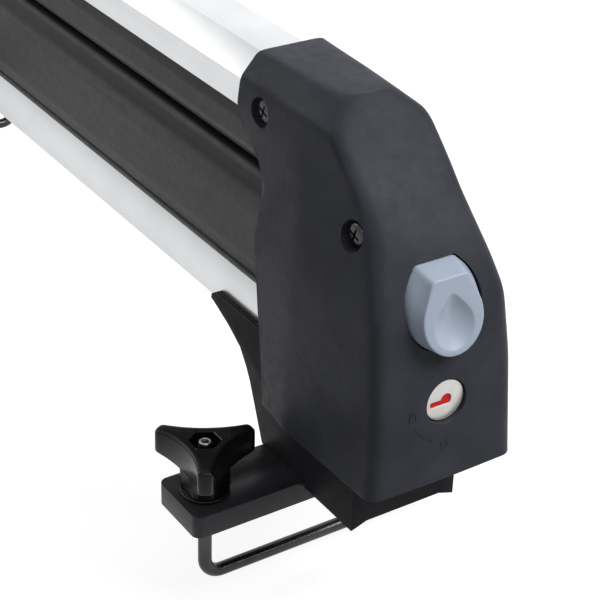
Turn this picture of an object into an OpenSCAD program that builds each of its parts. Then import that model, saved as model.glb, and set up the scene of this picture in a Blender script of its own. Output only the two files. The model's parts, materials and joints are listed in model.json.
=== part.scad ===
// Ski and snowboard carrier that clamps on a roof crossbar.
// Origin: middle of the underside of the lock-end clamp plate, on the crossbar.
// X runs along the rails towards the lock, Z is up.

/* [Layout] */
// distance between the two clamps
clamp_span = 470; // [420:10:560]
// near end of the base rail
rail_front = 42; // [40:1:43]
// base rail beyond the hinge-end clamp
rail_tail = 75; // [73:1:78]
// underside of the base rail
rail_z = 59.5; // [59:0.5:60]
// opening between the two rails
opening_h = 79.5; // [79:0.5:80]
// hinge pin behind the hinge-end clamp
hinge_back = 70; // [70:1:71]
// hinge pin below the arm rail
hinge_drop = 18; // [17.5:0.5:18.5]

/* [Rails] */
// half width of both rails
rail_hw = 21.5; // [21.4:0.1:21.5]
// height of the upright rail side
rail_side = 8.1; // [7.8:0.1:8.4]
// height of the base rail
base_h = 19; // [19:0.5:19.5]
// height of the arm rail
arm_h = 21; // [20.9:0.1:21]
// half width of the top of the base rail
base_top_hw = 18; // [17.8:0.1:18.4]
// half width of the top of the arm rail
arm_top_hw = 10.5; // [10.3:0.1:10.6]
// half width of the slot mouth
slot_hw = 13.5; // [13.3:0.1:13.6]
// half width of the slot behind its lips
slot_in_hw = 15.5; // [15.4:0.1:15.8]
// thickness of the slot lips
lip_t = 2; // [1.8:0.1:2.2]
// height of the slot behind its lips
slot_h = 3; // [2.8:0.1:3.2]
// wall of the rails
rail_wall = 2; // [1.8:0.1:2.2]

/* [Rubbers] */
// half width of the cushions
rub_hw = 18.8; // [18:0.2:19]
// cushions meet this far below the arm rail
rub_drop = 27.4; // [26:0.2:28]
// gap between the two cushions
rub_gap = 0.6; // [0.4:0.1:1]
// near end of the cushions
rub_front = 5; // [0:1:6]
// far end of the cushions in front of the hinge pin
rub_tail = 36; // [36:1:60]

/* [Feet] */
// half width of the feet
foot_hw = 26; // [25.5:0.5:26]
// front of the foot from the clamp
foot_front = 52; // [50:1:52]
// wall of the feet
foot_wall = 3; // [2.5:0.25:3.5]
// half width between the foot cheeks
cheek_in = 21.65; // [21.6:0.05:21.8]
// height of the foot cheeks above the deck
cheek_h = 6; // [5:0.5:6]
// thickness of the foot deck
deck_t = 3.5; // [3:0.5:4]

/* [Clamps] */
// length of the clamp plate
plate_w = 156.5; // [154:0.5:158]
// width of the clamp plate
plate_l = 32.5; // [30:0.5:33]
// thickness of the clamp plate
plate_t = 10.5; // [10:0.5:11]
// corner radius of the clamp plate
plate_r = 4; // [3:0.5:6]
// legs of the U-bolt in from the ends of the plate
leg_inset = 13.6; // [13:0.1:14]
// diameter of the U-bolt rod
rod_d = 6; // [5.8:0.1:6.2]
// top of the U-bolt legs
rod_top = 35.5; // [34:0.5:36]
// middle of the U-bolt run below the plate
run_z = 34.5; // [34.5:0.5:44]
// bend radius of the U-bolt
bend_r = 8.5; // [6:0.5:10]
// distance between the two foot bolts
bolt_gap = 24; // [22:1:26]
// diameter of the foot bolts
bolt_d = 6; // [5.5:0.1:6]

/* [Knobs] */
// radius to the tip of a knob lobe
knob_r = 23.2; // [22.8:0.1:23.4]
// half width of the end of a lobe
lobe_hw = 3.4; // [3.2:0.1:3.6]
// radius of the corners of a lobe
lobe_edge = 1.2; // [1:0.1:1.3]
// radius to the hollow between two lobes
valley_r = 9.7; // [9.6:0.1:10]
// height of the lobes at their tips
lobe_h = 10.4; // [10:0.1:10.8]
// fall of the domed top from its middle to the tips of the lobes
dome_drop = 1.2; // [1:0.1:1.5]
// rise of the underside from the hub to the tips of the lobes
under_rise = 2.3; // [2:0.1:2.5]
// radius of the knob hub
hub_r = 9.6; // [9:0.1:10]
// top of the knob
knob_top = 36; // [36:0.5:37]
// width of the nut across its flats
nut_af = 10; // [9.8:0.1:10.2]
// height of a nut
nut_h = 5; // [4.5:0.25:5]
// thickness of the washer
washer_t = 1.4; // [1:0.1:1.5]

/* [Housing] */
// wall of the lock housing
house_wall = 3; // [2.8:0.1:3]
// radius of the front edges of the housing
house_edge = 6; // [5:0.5:6]
// bottom of the housing
house_z = 40.5; // [40:0.5:41]
// front of the housing at its bottom
house_front = 76.3; // [76.3:0.1:77]
// half width of the housing at its bottom
house_hw = 36.5; // [36.5:0.1:37]
// half width of the housing beside the arm rail
house_arm_hw = 25; // [25:0.1:25.4]
// half width of the flat top of the housing at its front
house_top_hw = 12; // [11.5:0.5:13]
// radius of the screw counterbores
sink_r = 6.3; // [6:0.1:6.4]
// diameter of the housing screws
screw_d = 5; // [4.6:0.1:5]

/* [Lock] */
// height of the lock above the bottom of the housing
lock_up = 35; // [34.5:0.25:35.5]
// radius of the lock core
core_r = 9; // [8.8:0.1:9]
// radius of the lock sleeve
sleeve_r = 11; // [10.8:0.1:11]
// near face of the lock core
core_x = 73; // [72.8:0.1:73.2]
// length of the straight part of the key slot
key_w = 7; // [6.5:0.1:7]
// height of the straight part of the key slot
key_t = 2.5; // [2:0.1:2.6]
// radius of the round part of the key slot
key_r = 2.6; // [2.5:0.1:2.8]

/* [Button] */
// middle of the button above the lock
btn_over = 37.2; // [37:0.1:37.5]
// radius of the button where it leaves the housing
btn_r = 17.8; // [17.4:0.1:18]
// middle of its round part there, above the middle of the button
btn_rise = 2.8; // [2.6:0.1:3]
// flat top there, above the middle of the round part
btn_up = 16.2; // [16:0.1:16.4]
// half width of the flat top there
btn_top_hw = 12.1; // [11.8:0.1:12.4]
// radius of the front face of the button
face_r = 14.3; // [14:0.1:14.5]
// flat top of the front face above the middle of the button
face_up = 16.4; // [16:0.1:16.6]
// half width of the flat top of the front face
face_top_hw = 8.4; // [8.2:0.1:8.6]
// gap around the button
btn_gap = 0.8; // [0.5:0.1:1]
// radius of the ball that hollows the finger dimple
dimple_r = 18; // [16:0.5:20]
// depth of the finger dimple
dimple_t = 3; // [2:0.25:3.25]

/* [Latch] */
// pivot of the hook, along the rails
hook_x = 40; // [39.8:0.1:40.2]
// pivot of the hook below the middle of the button
hook_drop = 7.7; // [7.5:0.1:7.9]
// thickness of the hook
hook_t = 12; // [10:0.5:12]
// strike pin, along the rails
strike_x = 30; // [29.8:0.1:30]
// strike pin below the pivot of the hook
strike_drop = 13; // [13:0.1:13.2]
// diameter of the strike pin and hook pivot
pin_d = 6; // [5.8:0.1:6]

/* [Hinge] */
// diameter of the hinge pin
hinge_d = 8; // [7.5:0.25:8]
// outside radius of the tower head
tower_r = 16; // [15.5:0.25:16]
// half width of the tower
tower_hw = 20; // [19.5:0.25:20.5]
// half width between the tower cheeks
tower_in = 14.2; // [14:0.1:14.3]
// half width of the hinge lug
lug_hw = 13; // [12.5:0.1:13.2]

/* [Hidden] */
// clearances: sliding and turning parts, parts that stay put
run_gap = 0.05;
fit_gap = 0.1;
// clearance of rods and bolts in plain holes
hole_gap = 0.3;
rod_r = rod_d / 2;
bolt_r = bolt_d / 2;
pin_r = pin_d / 2;
screw_r = screw_d / 2;
hinge_r = hinge_d / 2;
leg_y = plate_w / 2 - leg_inset;
far_x = -clamp_span;
hinge_x = -clamp_span - hinge_back;
rail_back = -clamp_span - rail_tail;
base_top = rail_z + base_h;
arm_z = base_top + opening_h;
hinge_z = arm_z - hinge_drop;
rub_meet = arm_z - rub_drop;
lock_z = house_z + lock_up;
btn_z = lock_z + btn_over;
hook_z = btn_z - hook_drop;
strike_z = hook_z - strike_drop;
slot_top = base_top - lip_t;
slot_floor = slot_top - slot_h;
hollow_top = slot_floor - rail_wall;
hollow_z = rail_z + rail_wall;
hollow_hw = rail_hw - rail_wall;
arm_top = arm_z + arm_h;
arm_front = -2;
arm_back = hinge_x + 20;
arm_slot = arm_z + lip_t;
arm_slot_top = arm_slot + slot_h;
rub_back = hinge_x + rub_tail;
deck_z = rail_z - deck_t;
bolt_y = bolt_gap / 2;
head_h = 4;
head_sink = 5;
knob_z = plate_t + washer_t + fit_gap;
nut_z = knob_top - 14;
nut_r = nut_af / 2 / cos(30);
// end of a lobe's side, seen from the middle of the hollow beside it
side_end = [
  (knob_r - lobe_edge) * cos(60) + lobe_hw * sin(60),
  (knob_r - lobe_edge) * sin(60) - lobe_hw * cos(60),
];
// arc of the hollow: middle, radius and half angle
scallop_at = (side_end * side_end - valley_r * valley_r) / (2 * (side_end[0] - valley_r));
scallop_r = scallop_at - valley_r;
scallop_turn = atan2(side_end[1], scallop_at - side_end[0]);
// housing screws: into the arm rail and into the latch carrier
rail_screw_x = -26;
rail_screw_z = arm_z + 5.6;
carrier_screw_x = hook_x + 2;
carrier_screw_z = arm_z - 18;
cap_screw_x = arm_back + 20;
carrier_hw = 20;
// floor of the counterbores beside the arm rail, heads of the side screws
sink_y = rail_hw + 0.4;
side_head_r = sink_r - 1.2;
side_head_t = 1.3;
strike_screw_x = [rub_front + 7, rail_front - 6];
// retaining groove of the lock sleeve
groove_x = 55.8;
// levels of the housing: height, half width in front, front, half width at the
// ridge of the side, half width behind, ridge of the side along the rails
house_levels = [
  [house_z, house_hw - 0.5, house_front, house_hw, house_hw - 4.6, 16],
  [house_z + 45, house_hw - 2.3, house_front - 3.3, house_hw - 1.5, house_hw - 5, 14.7],
  [btn_z + 0.8, house_hw - 4.3, house_front - 7.7, house_hw - 3, house_hw - 6, 13.3],
  [arm_z - 18.5, house_hw - 10.8, house_front - 21, house_hw - 8, house_hw - 10.8, 9.4],
  [arm_z + 1.5, house_arm_hw - 1, house_front - 38.5, house_arm_hw, house_arm_hw - 0.3, 1],
  [arm_z + 14.5, house_arm_hw - 1.4, house_front - 51.9, house_arm_hw - 1, house_arm_hw - 1, -8],
  [arm_top + 3.5, house_top_hw, house_front - 62.3, house_top_hw + 1.5, house_top_hw + 3.5, -20],
];
// how much the slope of the front thickens its wall at these levels
slope_extra = [0, 0, 0.4, 1.2, 1.5, 1.5];
house_back = -49;
btn_root_z = btn_z + btn_rise;
btn_steps = 36;
plunger_z = btn_z + 11.1;
plunger_r = 4;
tail_up = 22;
cap_end = arm_back - 3;
cap_z = arm_z - 3;

black = [0.12, 0.12, 0.13];
soft_black = [0.07, 0.07, 0.075];
silver = [0.78, 0.79, 0.8];
steel = [0.5, 0.5, 0.52];
dark_steel = [0.3, 0.3, 0.32];
button_blue = [0.62, 0.66, 0.72];
red = [0.75, 0.1, 0.1];

// upright prism along X from a half outline given as [y, z]
module along_x(x0, x1, half) {
  flip = [for (i = [len(half) - 1:-1:0]) [-half[i][0], half[i][1]]];
  translate([x0, 0, 0])
    rotate([90, 0, 90])
      linear_extrude(height = x1 - x0)
        polygon(concat(half, flip));
}

// prism across the rails from an outline given as [x, z]
module across(hw, outline) {
  translate([0, hw, 0])
    rotate([90, 0, 0])
      linear_extrude(height = 2 * hw)
        polygon(outline);
}

module rod_x(x0, x1, y, z, r) {
  translate([x0, y, z])
    rotate([0, 90, 0])
      cylinder(r = r, h = x1 - x0, $fn = 64);
}

module rod_y(x, y0, y1, z, r) {
  translate([x, y0, z])
    rotate([-90, 0, 0])
      cylinder(r = r, h = y1 - y0, $fn = 64);
}

module rod_z(x, y, z0, z1, r) {
  translate([x, y, z0])
    cylinder(r = r, h = z1 - z0, $fn = 64);
}

module block(x0, x1, y0, y1, z0, z1) {
  translate([x0, y0, z0])
    cube([x1 - x0, y1 - y0, z1 - z0]);
}

module both_sides() {
  children();
  mirror([0, 1, 0])
    children();
}

// round-headed screw that enters from the side: y is the outside of the head
module side_screw(x, y, z, reach, head_r, head_t) {
  rod_y(x, -y, -y + head_t, z, head_r);
  rod_y(x, -y + head_t / 2, -y + reach, z, screw_r);
}

function base_half(g) = [
  [0, rail_z - g],
  [rail_hw + g, rail_z - g],
  [rail_hw + g, rail_z + rail_side],
  [base_top_hw + g, base_top + g],
  [0, base_top + g],
];

function arm_half(g) = [
  [0, arm_z - g],
  [rail_hw + g, arm_z - g],
  [rail_hw + g, arm_z + 12.4],
  [arm_top_hw + g, arm_top + g],
  [0, arm_top + g],
];

module base_rail() {
  color(silver)
    difference() {
      along_x(rail_back, rail_front, base_half(0));
      along_x(rail_back - 1, rail_front + 1, [
        [0, slot_floor],
        [slot_in_hw, slot_floor],
        [slot_in_hw, slot_top],
        [slot_hw, slot_top],
        [slot_hw, base_top + 1],
        [0, base_top + 1],
      ]);
      along_x(rail_back - 1, rail_front + 1, [
        [0, hollow_z],
        [hollow_hw, hollow_z],
        [hollow_hw, rail_z + rail_side - 0.5],
        [hollow_hw - 1, hollow_top],
        [0, hollow_top],
      ]);
      for (x = [0, far_x])
        for (s = [-1, 1])
          rod_z(x, s * bolt_y, rail_z - 1, hollow_z + 1, bolt_r + hole_gap);
      for (x = strike_screw_x)
        rod_z(x, 0, hollow_top - 1, slot_floor + 1, screw_r + hole_gap);
      rod_y(hinge_x + 4, -rail_hw - 1, rail_hw + 1, rail_z + 4, screw_r + run_gap);
    }
}

module rail_plug() {
  color(black) {
    block(rail_front + run_gap, rail_front + 1.5, -rail_hw + 0.5, rail_hw - 0.5, rail_z + 0.5, slot_floor);
    along_x(rail_front - 3, rail_front + 1, [
      [0, hollow_z + fit_gap],
      [hollow_hw - fit_gap, hollow_z + fit_gap],
      [hollow_hw - fit_gap, rail_z + rail_side - 0.5],
      [hollow_hw - 1 - fit_gap, hollow_top - fit_gap],
      [0, hollow_top - fit_gap],
    ]);
  }
}

module base_rubber() {
  top = rub_meet - rub_gap / 2;
  color(soft_black)
    along_x(rub_back, rub_front, [
      [0, slot_floor + fit_gap],
      [slot_in_hw - 0.3, slot_floor + fit_gap],
      [slot_in_hw - 0.3, slot_top - fit_gap],
      [slot_hw - 0.3, slot_top - fit_gap],
      [slot_hw - 0.3, base_top + fit_gap],
      [rub_hw - 3.6, base_top + fit_gap],
      [rub_hw - 2, base_top + 6],
      [rub_hw - 1.2, base_top + 15],
      [rub_hw - 0.4, top - 18],
      [rub_hw - 0.8, top - 10],
      [rub_hw - 3, top - 4.6],
      [rub_hw - 6.5, top - 1.6],
      [rub_hw - 11, top - 0.3],
      [0, top],
    ]);
}

module arm_rubber() {
  low = rub_meet + rub_gap / 2;
  color(soft_black)
    along_x(rub_back, rub_front - 9, [
      [0, low],
      [rub_hw - 11, low + 0.3],
      [rub_hw - 6.5, low + 1.6],
      [rub_hw - 3, low + 4.6],
      [rub_hw - 0.6, low + 10],
      [rub_hw - 0.4, arm_z - 8],
      [rub_hw - 2.4, arm_z - fit_gap],
      [slot_hw - 0.3, arm_z - fit_gap],
      [slot_hw - 0.3, arm_slot + fit_gap],
      [slot_in_hw - 0.3, arm_slot + fit_gap],
      [slot_in_hw - 0.3, arm_slot_top - fit_gap],
      [0, arm_slot_top - fit_gap],
    ]);
}

// foot around its clamp: front towards +X
module foot() {
  side = [
    [-17, plate_t + run_gap],
    [foot_front, plate_t + run_gap],
    [foot_front, rail_z + cheek_h],
    [-58, rail_z + cheek_h],
    [-60.5, rail_z + cheek_h - 1.2],
    [-61, rail_z + 2.5],
    [-57, rail_z + 1],
    [-46, deck_z - 0.5],
    [-36.4, 49.7],
    [-31, 42.5],
    [-27.7, 36.5],
    [-22.5, 24],
  ];
  inside = [
    [-13.5, plate_t - 1],
    [foot_front - foot_wall, plate_t - 1],
    [foot_front - foot_wall, deck_z],
    [-38, deck_z],
    [-33, 51],
    [-24.5, 36.5],
    [-19.3, 24],
  ];
  difference() {
    union() {
      across(foot_hw, side);
      both_sides()
        along_x_one(17, foot_front, [
          [foot_hw, plate_t - 2.5],
          [foot_hw, plate_t + 1],
          [foot_hw - 7.5, plate_t + 1],
          [foot_hw - 7.5, plate_t],
        ]);
    }
    difference() {
      across(foot_hw - foot_wall, inside);
      for (s = [-1, 1])
        rod_z(0, s * bolt_y, plate_t + run_gap, rail_z, 7);
    }
    block(-70, foot_front + 1, -cheek_in, cheek_in, rail_z - run_gap, rail_z + 20);
    for (s = [-1, 1])
      rod_z(0, s * bolt_y, plate_t - 1, rail_z + 1, bolt_r + hole_gap);
    // two grooves along the cheek tops
    both_sides()
      for (y = [foot_hw - 1.6, foot_hw - 3])
        block(-70, foot_front + 1, y - 0.3, y + 0.3, rail_z + cheek_h - 0.5, rail_z + cheek_h + 1);
  }
}

module along_x_one(x0, x1, outline) {
  translate([x0, 0, 0])
    rotate([90, 0, 90])
      linear_extrude(height = x1 - x0)
        polygon(outline);
}

module lock_foot() {
  color(black)
    foot();
}

module hinge_foot() {
  color(black)
    translate([far_x, 0, 0])
      mirror([1, 0, 0])
        foot();
}

module clamp_plate(x) {
  dx = plate_l / 2 - plate_r;
  dy = plate_w / 2 - plate_r;
  color(black)
    difference() {
      union() {
        block(x - plate_l / 2, x + plate_l / 2, -dy, dy, 0, plate_t);
        block(x - dx, x + dx, -plate_w / 2, plate_w / 2, 0, plate_t);
        for (sx = [-1, 1])
          for (sy = [-1, 1])
            rod_z(x + sx * dx, sy * dy, 0, plate_t, plate_r);
      }
      for (s = [-1, 1])
        rod_z(x, s * leg_y, -1, plate_t + 1, rod_r + hole_gap);
      for (s = [-1, 1])
        rod_z(x, s * bolt_y, -1, plate_t + 1, bolt_r + hole_gap);
      for (s = [-1, 1])
        rod_z(x, s * bolt_y, -1, head_sink, bolt_d + hole_gap);
    }
}

module clamp_plate_lock() {
  clamp_plate(0);
}

module clamp_plate_hinge() {
  clamp_plate(far_x);
}

module foot_bolts() {
  color(steel)
    for (x = [0, far_x])
      for (s = [-1, 1]) {
        rod_z(x, s * bolt_y, head_sink - head_h, head_sink - run_gap, bolt_d);
        rod_z(x, s * bolt_y, head_sink - 1, hollow_z + nut_h + 1.5, bolt_r);
      }
}

module hex_nut(x, y, z, bore) {
  difference() {
    translate([x, y, z])
      cylinder(r = nut_r, h = nut_h, $fn = 6);
    rod_z(x, y, z - 1, z + nut_h + 1, bore);
  }
}

module foot_nuts() {
  color(steel)
    for (x = [0, far_x])
      for (s = [-1, 1])
        hex_nut(x, s * bolt_y, hollow_z + run_gap, bolt_r + run_gap);
}

module washers(x) {
  color(dark_steel)
    for (s = [-1, 1])
      difference() {
        rod_z(x, s * leg_y, plate_t + run_gap, plate_t + washer_t, hub_r + 0.9);
        rod_z(x, s * leg_y, plate_t - 1, plate_t + washer_t + 1, rod_r + hole_gap);
      }
}

module washers_lock() {
  washers(0);
}

module washers_hinge() {
  washers(far_x);
}

module u_bolt(x) {
  color(dark_steel) {
    both_sides() {
      rod_z(x, leg_y, bend_r - run_z, rod_top, rod_r);
      translate([x, leg_y - bend_r, bend_r - run_z])
        rotate([0, 90, 0])
          rotate_extrude(angle = 90, $fn = 64)
            translate([bend_r, 0])
              circle(r = rod_r, $fn = 48);
    }
    rod_y(x, bend_r - leg_y, leg_y - bend_r, -run_z, rod_r);
  }
}

module u_bolt_lock() {
  u_bolt(0);
}

module u_bolt_hinge() {
  u_bolt(far_x);
}

// outline of the knob: three blunt lobes joined by hollow sides
function knob_point(k, i) =
  let (
    corner = i < 8,
    turn = corner ? (i < 4 ? 30 * i - 90 : 30 * (i - 4)) : 240 + scallop_turn * (11 - i) / 4,
    mid_x = corner ? knob_r - lobe_edge : scallop_at * cos(60),
    mid_y = corner ? (i < 4 ? -1 : 1) * (lobe_hw - lobe_edge) : scallop_at * sin(60),
    r = corner ? lobe_edge : scallop_r,
    x = mid_x + r * cos(turn),
    y = mid_y + r * sin(turn)
  )
  [x * cos(120 * k) - y * sin(120 * k), x * sin(120 * k) + y * cos(120 * k)];

// half section of the knob: domed top, underside that rises from the hub
module knob_section() {
  tip_z = knob_top - dome_drop - lobe_h;
  flat_r = nut_r + 2;
  out_r = knob_r + 0.5;
  rotate_extrude($fn = 96)
    polygon(concat(
      [[0, knob_z], [hub_r, knob_z], [hub_r, tip_z - under_rise], [out_r, tip_z]],
      [
        for (i = [4:-1:0])
          [flat_r + (out_r - flat_r) * i / 4, knob_top - dome_drop * pow(i / 4, 1.5)]
      ],
      [[0, knob_top]]
    ));
}

module knob(x, y) {
  color(black)
    translate([x, y, 0])
      rotate([0, 0, y > 0 ? -90 : 90])
        difference() {
          union() {
            intersection() {
              knob_section();
              translate([0, 0, knob_z])
                linear_extrude(height = knob_top)
                  polygon([for (k = [0:2]) for (i = [0:14]) knob_point(k, i)]);
            }
            rod_z(0, 0, knob_z, knob_top - dome_drop - lobe_h, hub_r);
            rod_z(0, 0, knob_z, knob_z + 1.2, hub_r + 0.4);
          }
          rod_z(0, 0, knob_z - 1, knob_top + 1, rod_r + hole_gap);
          // seat of the nut and the wider recess above it
          rotate([0, 0, 30]) {
            translate([0, 0, nut_z])
              cylinder(r = nut_r + fit_gap, h = knob_top, $fn = 6);
            translate([0, 0, nut_z + nut_h + 0.5])
              cylinder(r = nut_r + 1, h = knob_top, $fn = 6);
          }
        }
}

module knob_lock_near() {
  knob(0, -leg_y);
}

module knob_lock_far() {
  knob(0, leg_y);
}

module knob_hinge_near() {
  knob(far_x, -leg_y);
}

module knob_hinge_far() {
  knob(far_x, leg_y);
}

module knob_nut(x, y) {
  color(steel)
    translate([x, y, 0])
      rotate([0, 0, y > 0 ? -60 : 120])
        hex_nut(0, 0, nut_z + run_gap, rod_r + run_gap);
}

module nut_lock_near() {
  knob_nut(0, -leg_y);
}

module nut_lock_far() {
  knob_nut(0, leg_y);
}

module nut_hinge_near() {
  knob_nut(far_x, -leg_y);
}

module nut_hinge_far() {
  knob_nut(far_x, leg_y);
}

module strike_bracket() {
  ear_in = hook_t / 2 + 1.5;
  ear_out = ear_in + 3;
  base_z = slot_floor + run_gap;
  color(steel)
    difference() {
      union() {
        block(rub_front + 0.5, rail_front - 0.5, -slot_in_hw + 0.2, slot_in_hw - 0.2,
          base_z, slot_top - 0.3);
        both_sides() {
          translate([0, -ear_in, 0])
            rotate([90, 0, 0])
              linear_extrude(height = ear_out - ear_in)
                polygon([
                  [strike_x - 10, slot_floor + 1],
                  [strike_x + 7, slot_floor + 1],
                  [strike_x + 5.5, strike_z],
                  [strike_x - 5.5, strike_z],
                ]);
          rod_y(strike_x, -ear_out, -ear_in, strike_z, pin_r + 2.5);
        }
      }
      rod_y(strike_x, -ear_out - 1, ear_out + 1, strike_z, pin_r + run_gap);
      for (x = strike_screw_x)
        rod_z(x, 0, slot_floor - 1, slot_top, screw_r + hole_gap);
    }
}

module strike_pin() {
  half = hook_t / 2 + 5.5;
  color(silver)
    rod_y(strike_x, -half, half, strike_z, pin_r);
}

module strike_screws() {
  color(dark_steel)
    for (x = strike_screw_x) {
      rod_z(x, 0, slot_top - 0.3 + run_gap, slot_top + 2, screw_d - 0.5);
      rod_z(x, 0, hollow_top - 3, slot_top + 1, screw_r);
    }
}

module hinge_tower() {
  hw = rail_hw + 3.5;
  foot_edge = far_x - foot_front - 0.6;
  color(black)
    difference() {
      union() {
        // saddle on the rail and block behind it
        block(hinge_x - 23, hinge_x + 27, -hw, hw, rail_z + cheek_h + 0.6, base_top + 10);
        block(hinge_x - 23, foot_edge, -hw, hw, rail_z - 3.5, base_top);
        // cheeks up to the hinge pin
        both_sides() {
          translate([0, -tower_in, 0])
            rotate([90, 0, 0])
              linear_extrude(height = tower_hw - tower_in)
                polygon([
                  [hinge_x - 23, base_top + 9],
                  [hinge_x + 27, base_top + 9],
                  [hinge_x + 0.96 * tower_r, hinge_z - 0.28 * tower_r],
                  [hinge_x - 0.99 * tower_r, hinge_z - 0.14 * tower_r],
                ]);
          rod_y(hinge_x, -tower_hw, -tower_in, hinge_z, tower_r);
        }
        // web between the cheeks
        across(tower_in + 1, [
          [hinge_x - 20, base_top + 9],
          [hinge_x + 23, base_top + 9],
          [hinge_x + 17, hinge_z - tower_r - 8],
          [hinge_x - 17, hinge_z - tower_r - 8],
        ]);
      }
      along_x(rail_back - 0.2, hinge_x + 40, base_half(run_gap));
      rod_y(hinge_x, -tower_hw - 1, tower_hw + 1, hinge_z, hinge_r + run_gap);
      rod_y(hinge_x + 4, -hw - 1, hw + 1, rail_z + 4, screw_r + hole_gap);
    }
}

module tower_screws() {
  color(dark_steel)
    both_sides()
      side_screw(hinge_x + 4, rail_hw + 3.5 + 2.2, rail_z + 4, 10, 4.5, 2.15);
}

module hinge_pin() {
  color(steel)
    difference() {
      rod_y(hinge_x, -tower_hw - 3.5, tower_hw + 3.5, hinge_z, hinge_r);
      both_sides()
        difference() {
          rod_y(hinge_x, -tower_hw - 1.8, -tower_hw - 0.4, hinge_z, hinge_r + 1);
          rod_y(hinge_x, -tower_hw - 2, -tower_hw, hinge_z, hinge_r - 0.8);
        }
    }
}

module hinge_clips() {
  color(dark_steel)
    both_sides()
      difference() {
        rod_y(hinge_x, -tower_hw - 1.7, -tower_hw - 0.5, hinge_z, hinge_r + 3);
        rod_y(hinge_x, -tower_hw - 2, -tower_hw, hinge_z, hinge_r - 0.75);
        block(hinge_x - 2.2, hinge_x + 2.2, -tower_hw - 2, -tower_hw, hinge_z - 10, hinge_z);
      }
}

module arm_rail() {
  roof_z = arm_slot_top + rail_wall;
  color(silver)
    difference() {
      along_x(arm_back, arm_front, arm_half(0));
      along_x(arm_back - 1, arm_front + 1, [
        [0, arm_z - 1],
        [slot_hw, arm_z - 1],
        [slot_hw, arm_slot],
        [slot_in_hw, arm_slot],
        [slot_in_hw, arm_slot_top],
        [0, arm_slot_top],
      ]);
      along_x(arm_back - 1, arm_front + 1, [
        [0, roof_z],
        [hollow_hw, roof_z],
        [hollow_hw, arm_z + 11.6],
        [arm_top_hw - 0.8, arm_top - rail_wall],
        [0, arm_top - rail_wall],
      ]);
      for (x = [rail_screw_x, cap_screw_x])
        rod_y(x, -rail_hw - 1, rail_hw + 1, rail_screw_z, screw_r + run_gap);
    }
}

module arm_end_cap() {
  hw = house_arm_hw - 0.4;
  color(black)
    difference() {
      union() {
        along_x(cap_end, arm_back + 42, [
          [0, cap_z],
          [hw, cap_z],
          [hw, arm_z + 13.4],
          [arm_top_hw + 1.6, arm_top + 3],
          [0, arm_top + 3],
        ]);
        across(lug_hw, [
          [hinge_x - 9.2, hinge_z + 9.2],
          [hinge_x + 9, hinge_z + 27.4],
          [cap_end + 1, cap_z + 17],
          [cap_end + 1, cap_z + 1],
          [cap_end + 8, cap_z + 1],
          [cap_end + 8, cap_z],
          [hinge_x + 13, hinge_z],
          [hinge_x, hinge_z],
        ]);
        rod_y(hinge_x, -lug_hw, lug_hw, hinge_z, 13);
      }
      along_x(arm_back - run_gap, arm_back + 43, arm_half(run_gap));
      // open below the rail where the cushion runs
      block(rub_back - 1, arm_back + 43, -rail_hw - run_gap, rail_hw + run_gap, cap_z - 1, arm_z + 1);
      rod_y(hinge_x, -lug_hw - 1, lug_hw + 1, hinge_z, hinge_r + 2 + run_gap);
      both_sides() {
        rod_y(cap_screw_x, -hw - 1, -sink_y, rail_screw_z, sink_r);
        rod_y(cap_screw_x, -hw - 1, -rail_hw + 1, rail_screw_z, screw_r + hole_gap);
      }
    }
}

module cap_screws() {
  color(dark_steel)
    both_sides()
      side_screw(cap_screw_x, sink_y + side_head_t, rail_screw_z, 7.6, side_head_r, side_head_t - run_gap);
}

module hinge_bushes() {
  color(steel)
    both_sides()
      difference() {
        union() {
          rod_y(hinge_x, -lug_hw - 1, -lug_hw - run_gap, hinge_z, hinge_r + 5);
          rod_y(hinge_x, -lug_hw - 1, -1, hinge_z, hinge_r + 2);
        }
        rod_y(hinge_x, -lug_hw - 2, 0, hinge_z, hinge_r + run_gap);
      }
}

// thin post in a side of the housing: y is the middle of the post
module side_post(x, y, z) {
  translate([x, y - 0.5, z])
    cube([1, 1, 0.01]);
}

// one level of the housing: rounded front corners, a ridge on each side, square rear corners
module house_slice(level) {
  z = level[0];
  hw = level[1];
  x = level[2];
  ridge_hw = level[3];
  rear_hw = level[4];
  ridge_x = level[5];
  for (s = [-1, 1]) {
    translate([x - house_edge, s * (hw - house_edge), z])
      cylinder(r = house_edge, h = 0.01, $fn = 32);
    side_post(ridge_x, s * (ridge_hw - 0.5), z);
    side_post(house_back, s * (rear_hw - 0.5), z);
  }
}

module house_outside() {
  for (i = [0:5])
    hull() {
      house_slice(house_levels[i]);
      house_slice(house_levels[i + 1]);
    }
}

// outline of the button as [y, z]: flat top, tangents, round bottom of radius r
// about mid_z, whose flat top has half width hw and lies up above mid_z
function btn_turn(up, hw, r) = atan2(up, hw) - acos(r / sqrt(hw * hw + up * up));

function btn_loop(mid_z, up, hw, r) = [
  for (i = [-1:btn_steps + 1])
    let (turn = btn_turn(up, hw, r), a = turn - (180 + 2 * turn) * i / btn_steps)
      i < 0 ? [hw, mid_z + up]
      : i > btn_steps ? [-hw, mid_z + up]
      : [r * cos(a), mid_z + r * sin(a)]
];

// outline where the button leaves the housing, grown by g
function btn_outline(g) = btn_loop(btn_root_z, btn_up + g, btn_top_hw + g, btn_r + g);

// where a slanted face of the button lies: x at height z
function btn_face(z) = house_front - 1.6 + (btn_z - z) * 0.25;
function btn_skin(z) = house_front - 16.5 + (btn_root_z + btn_up - z) * 0.34;

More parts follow.
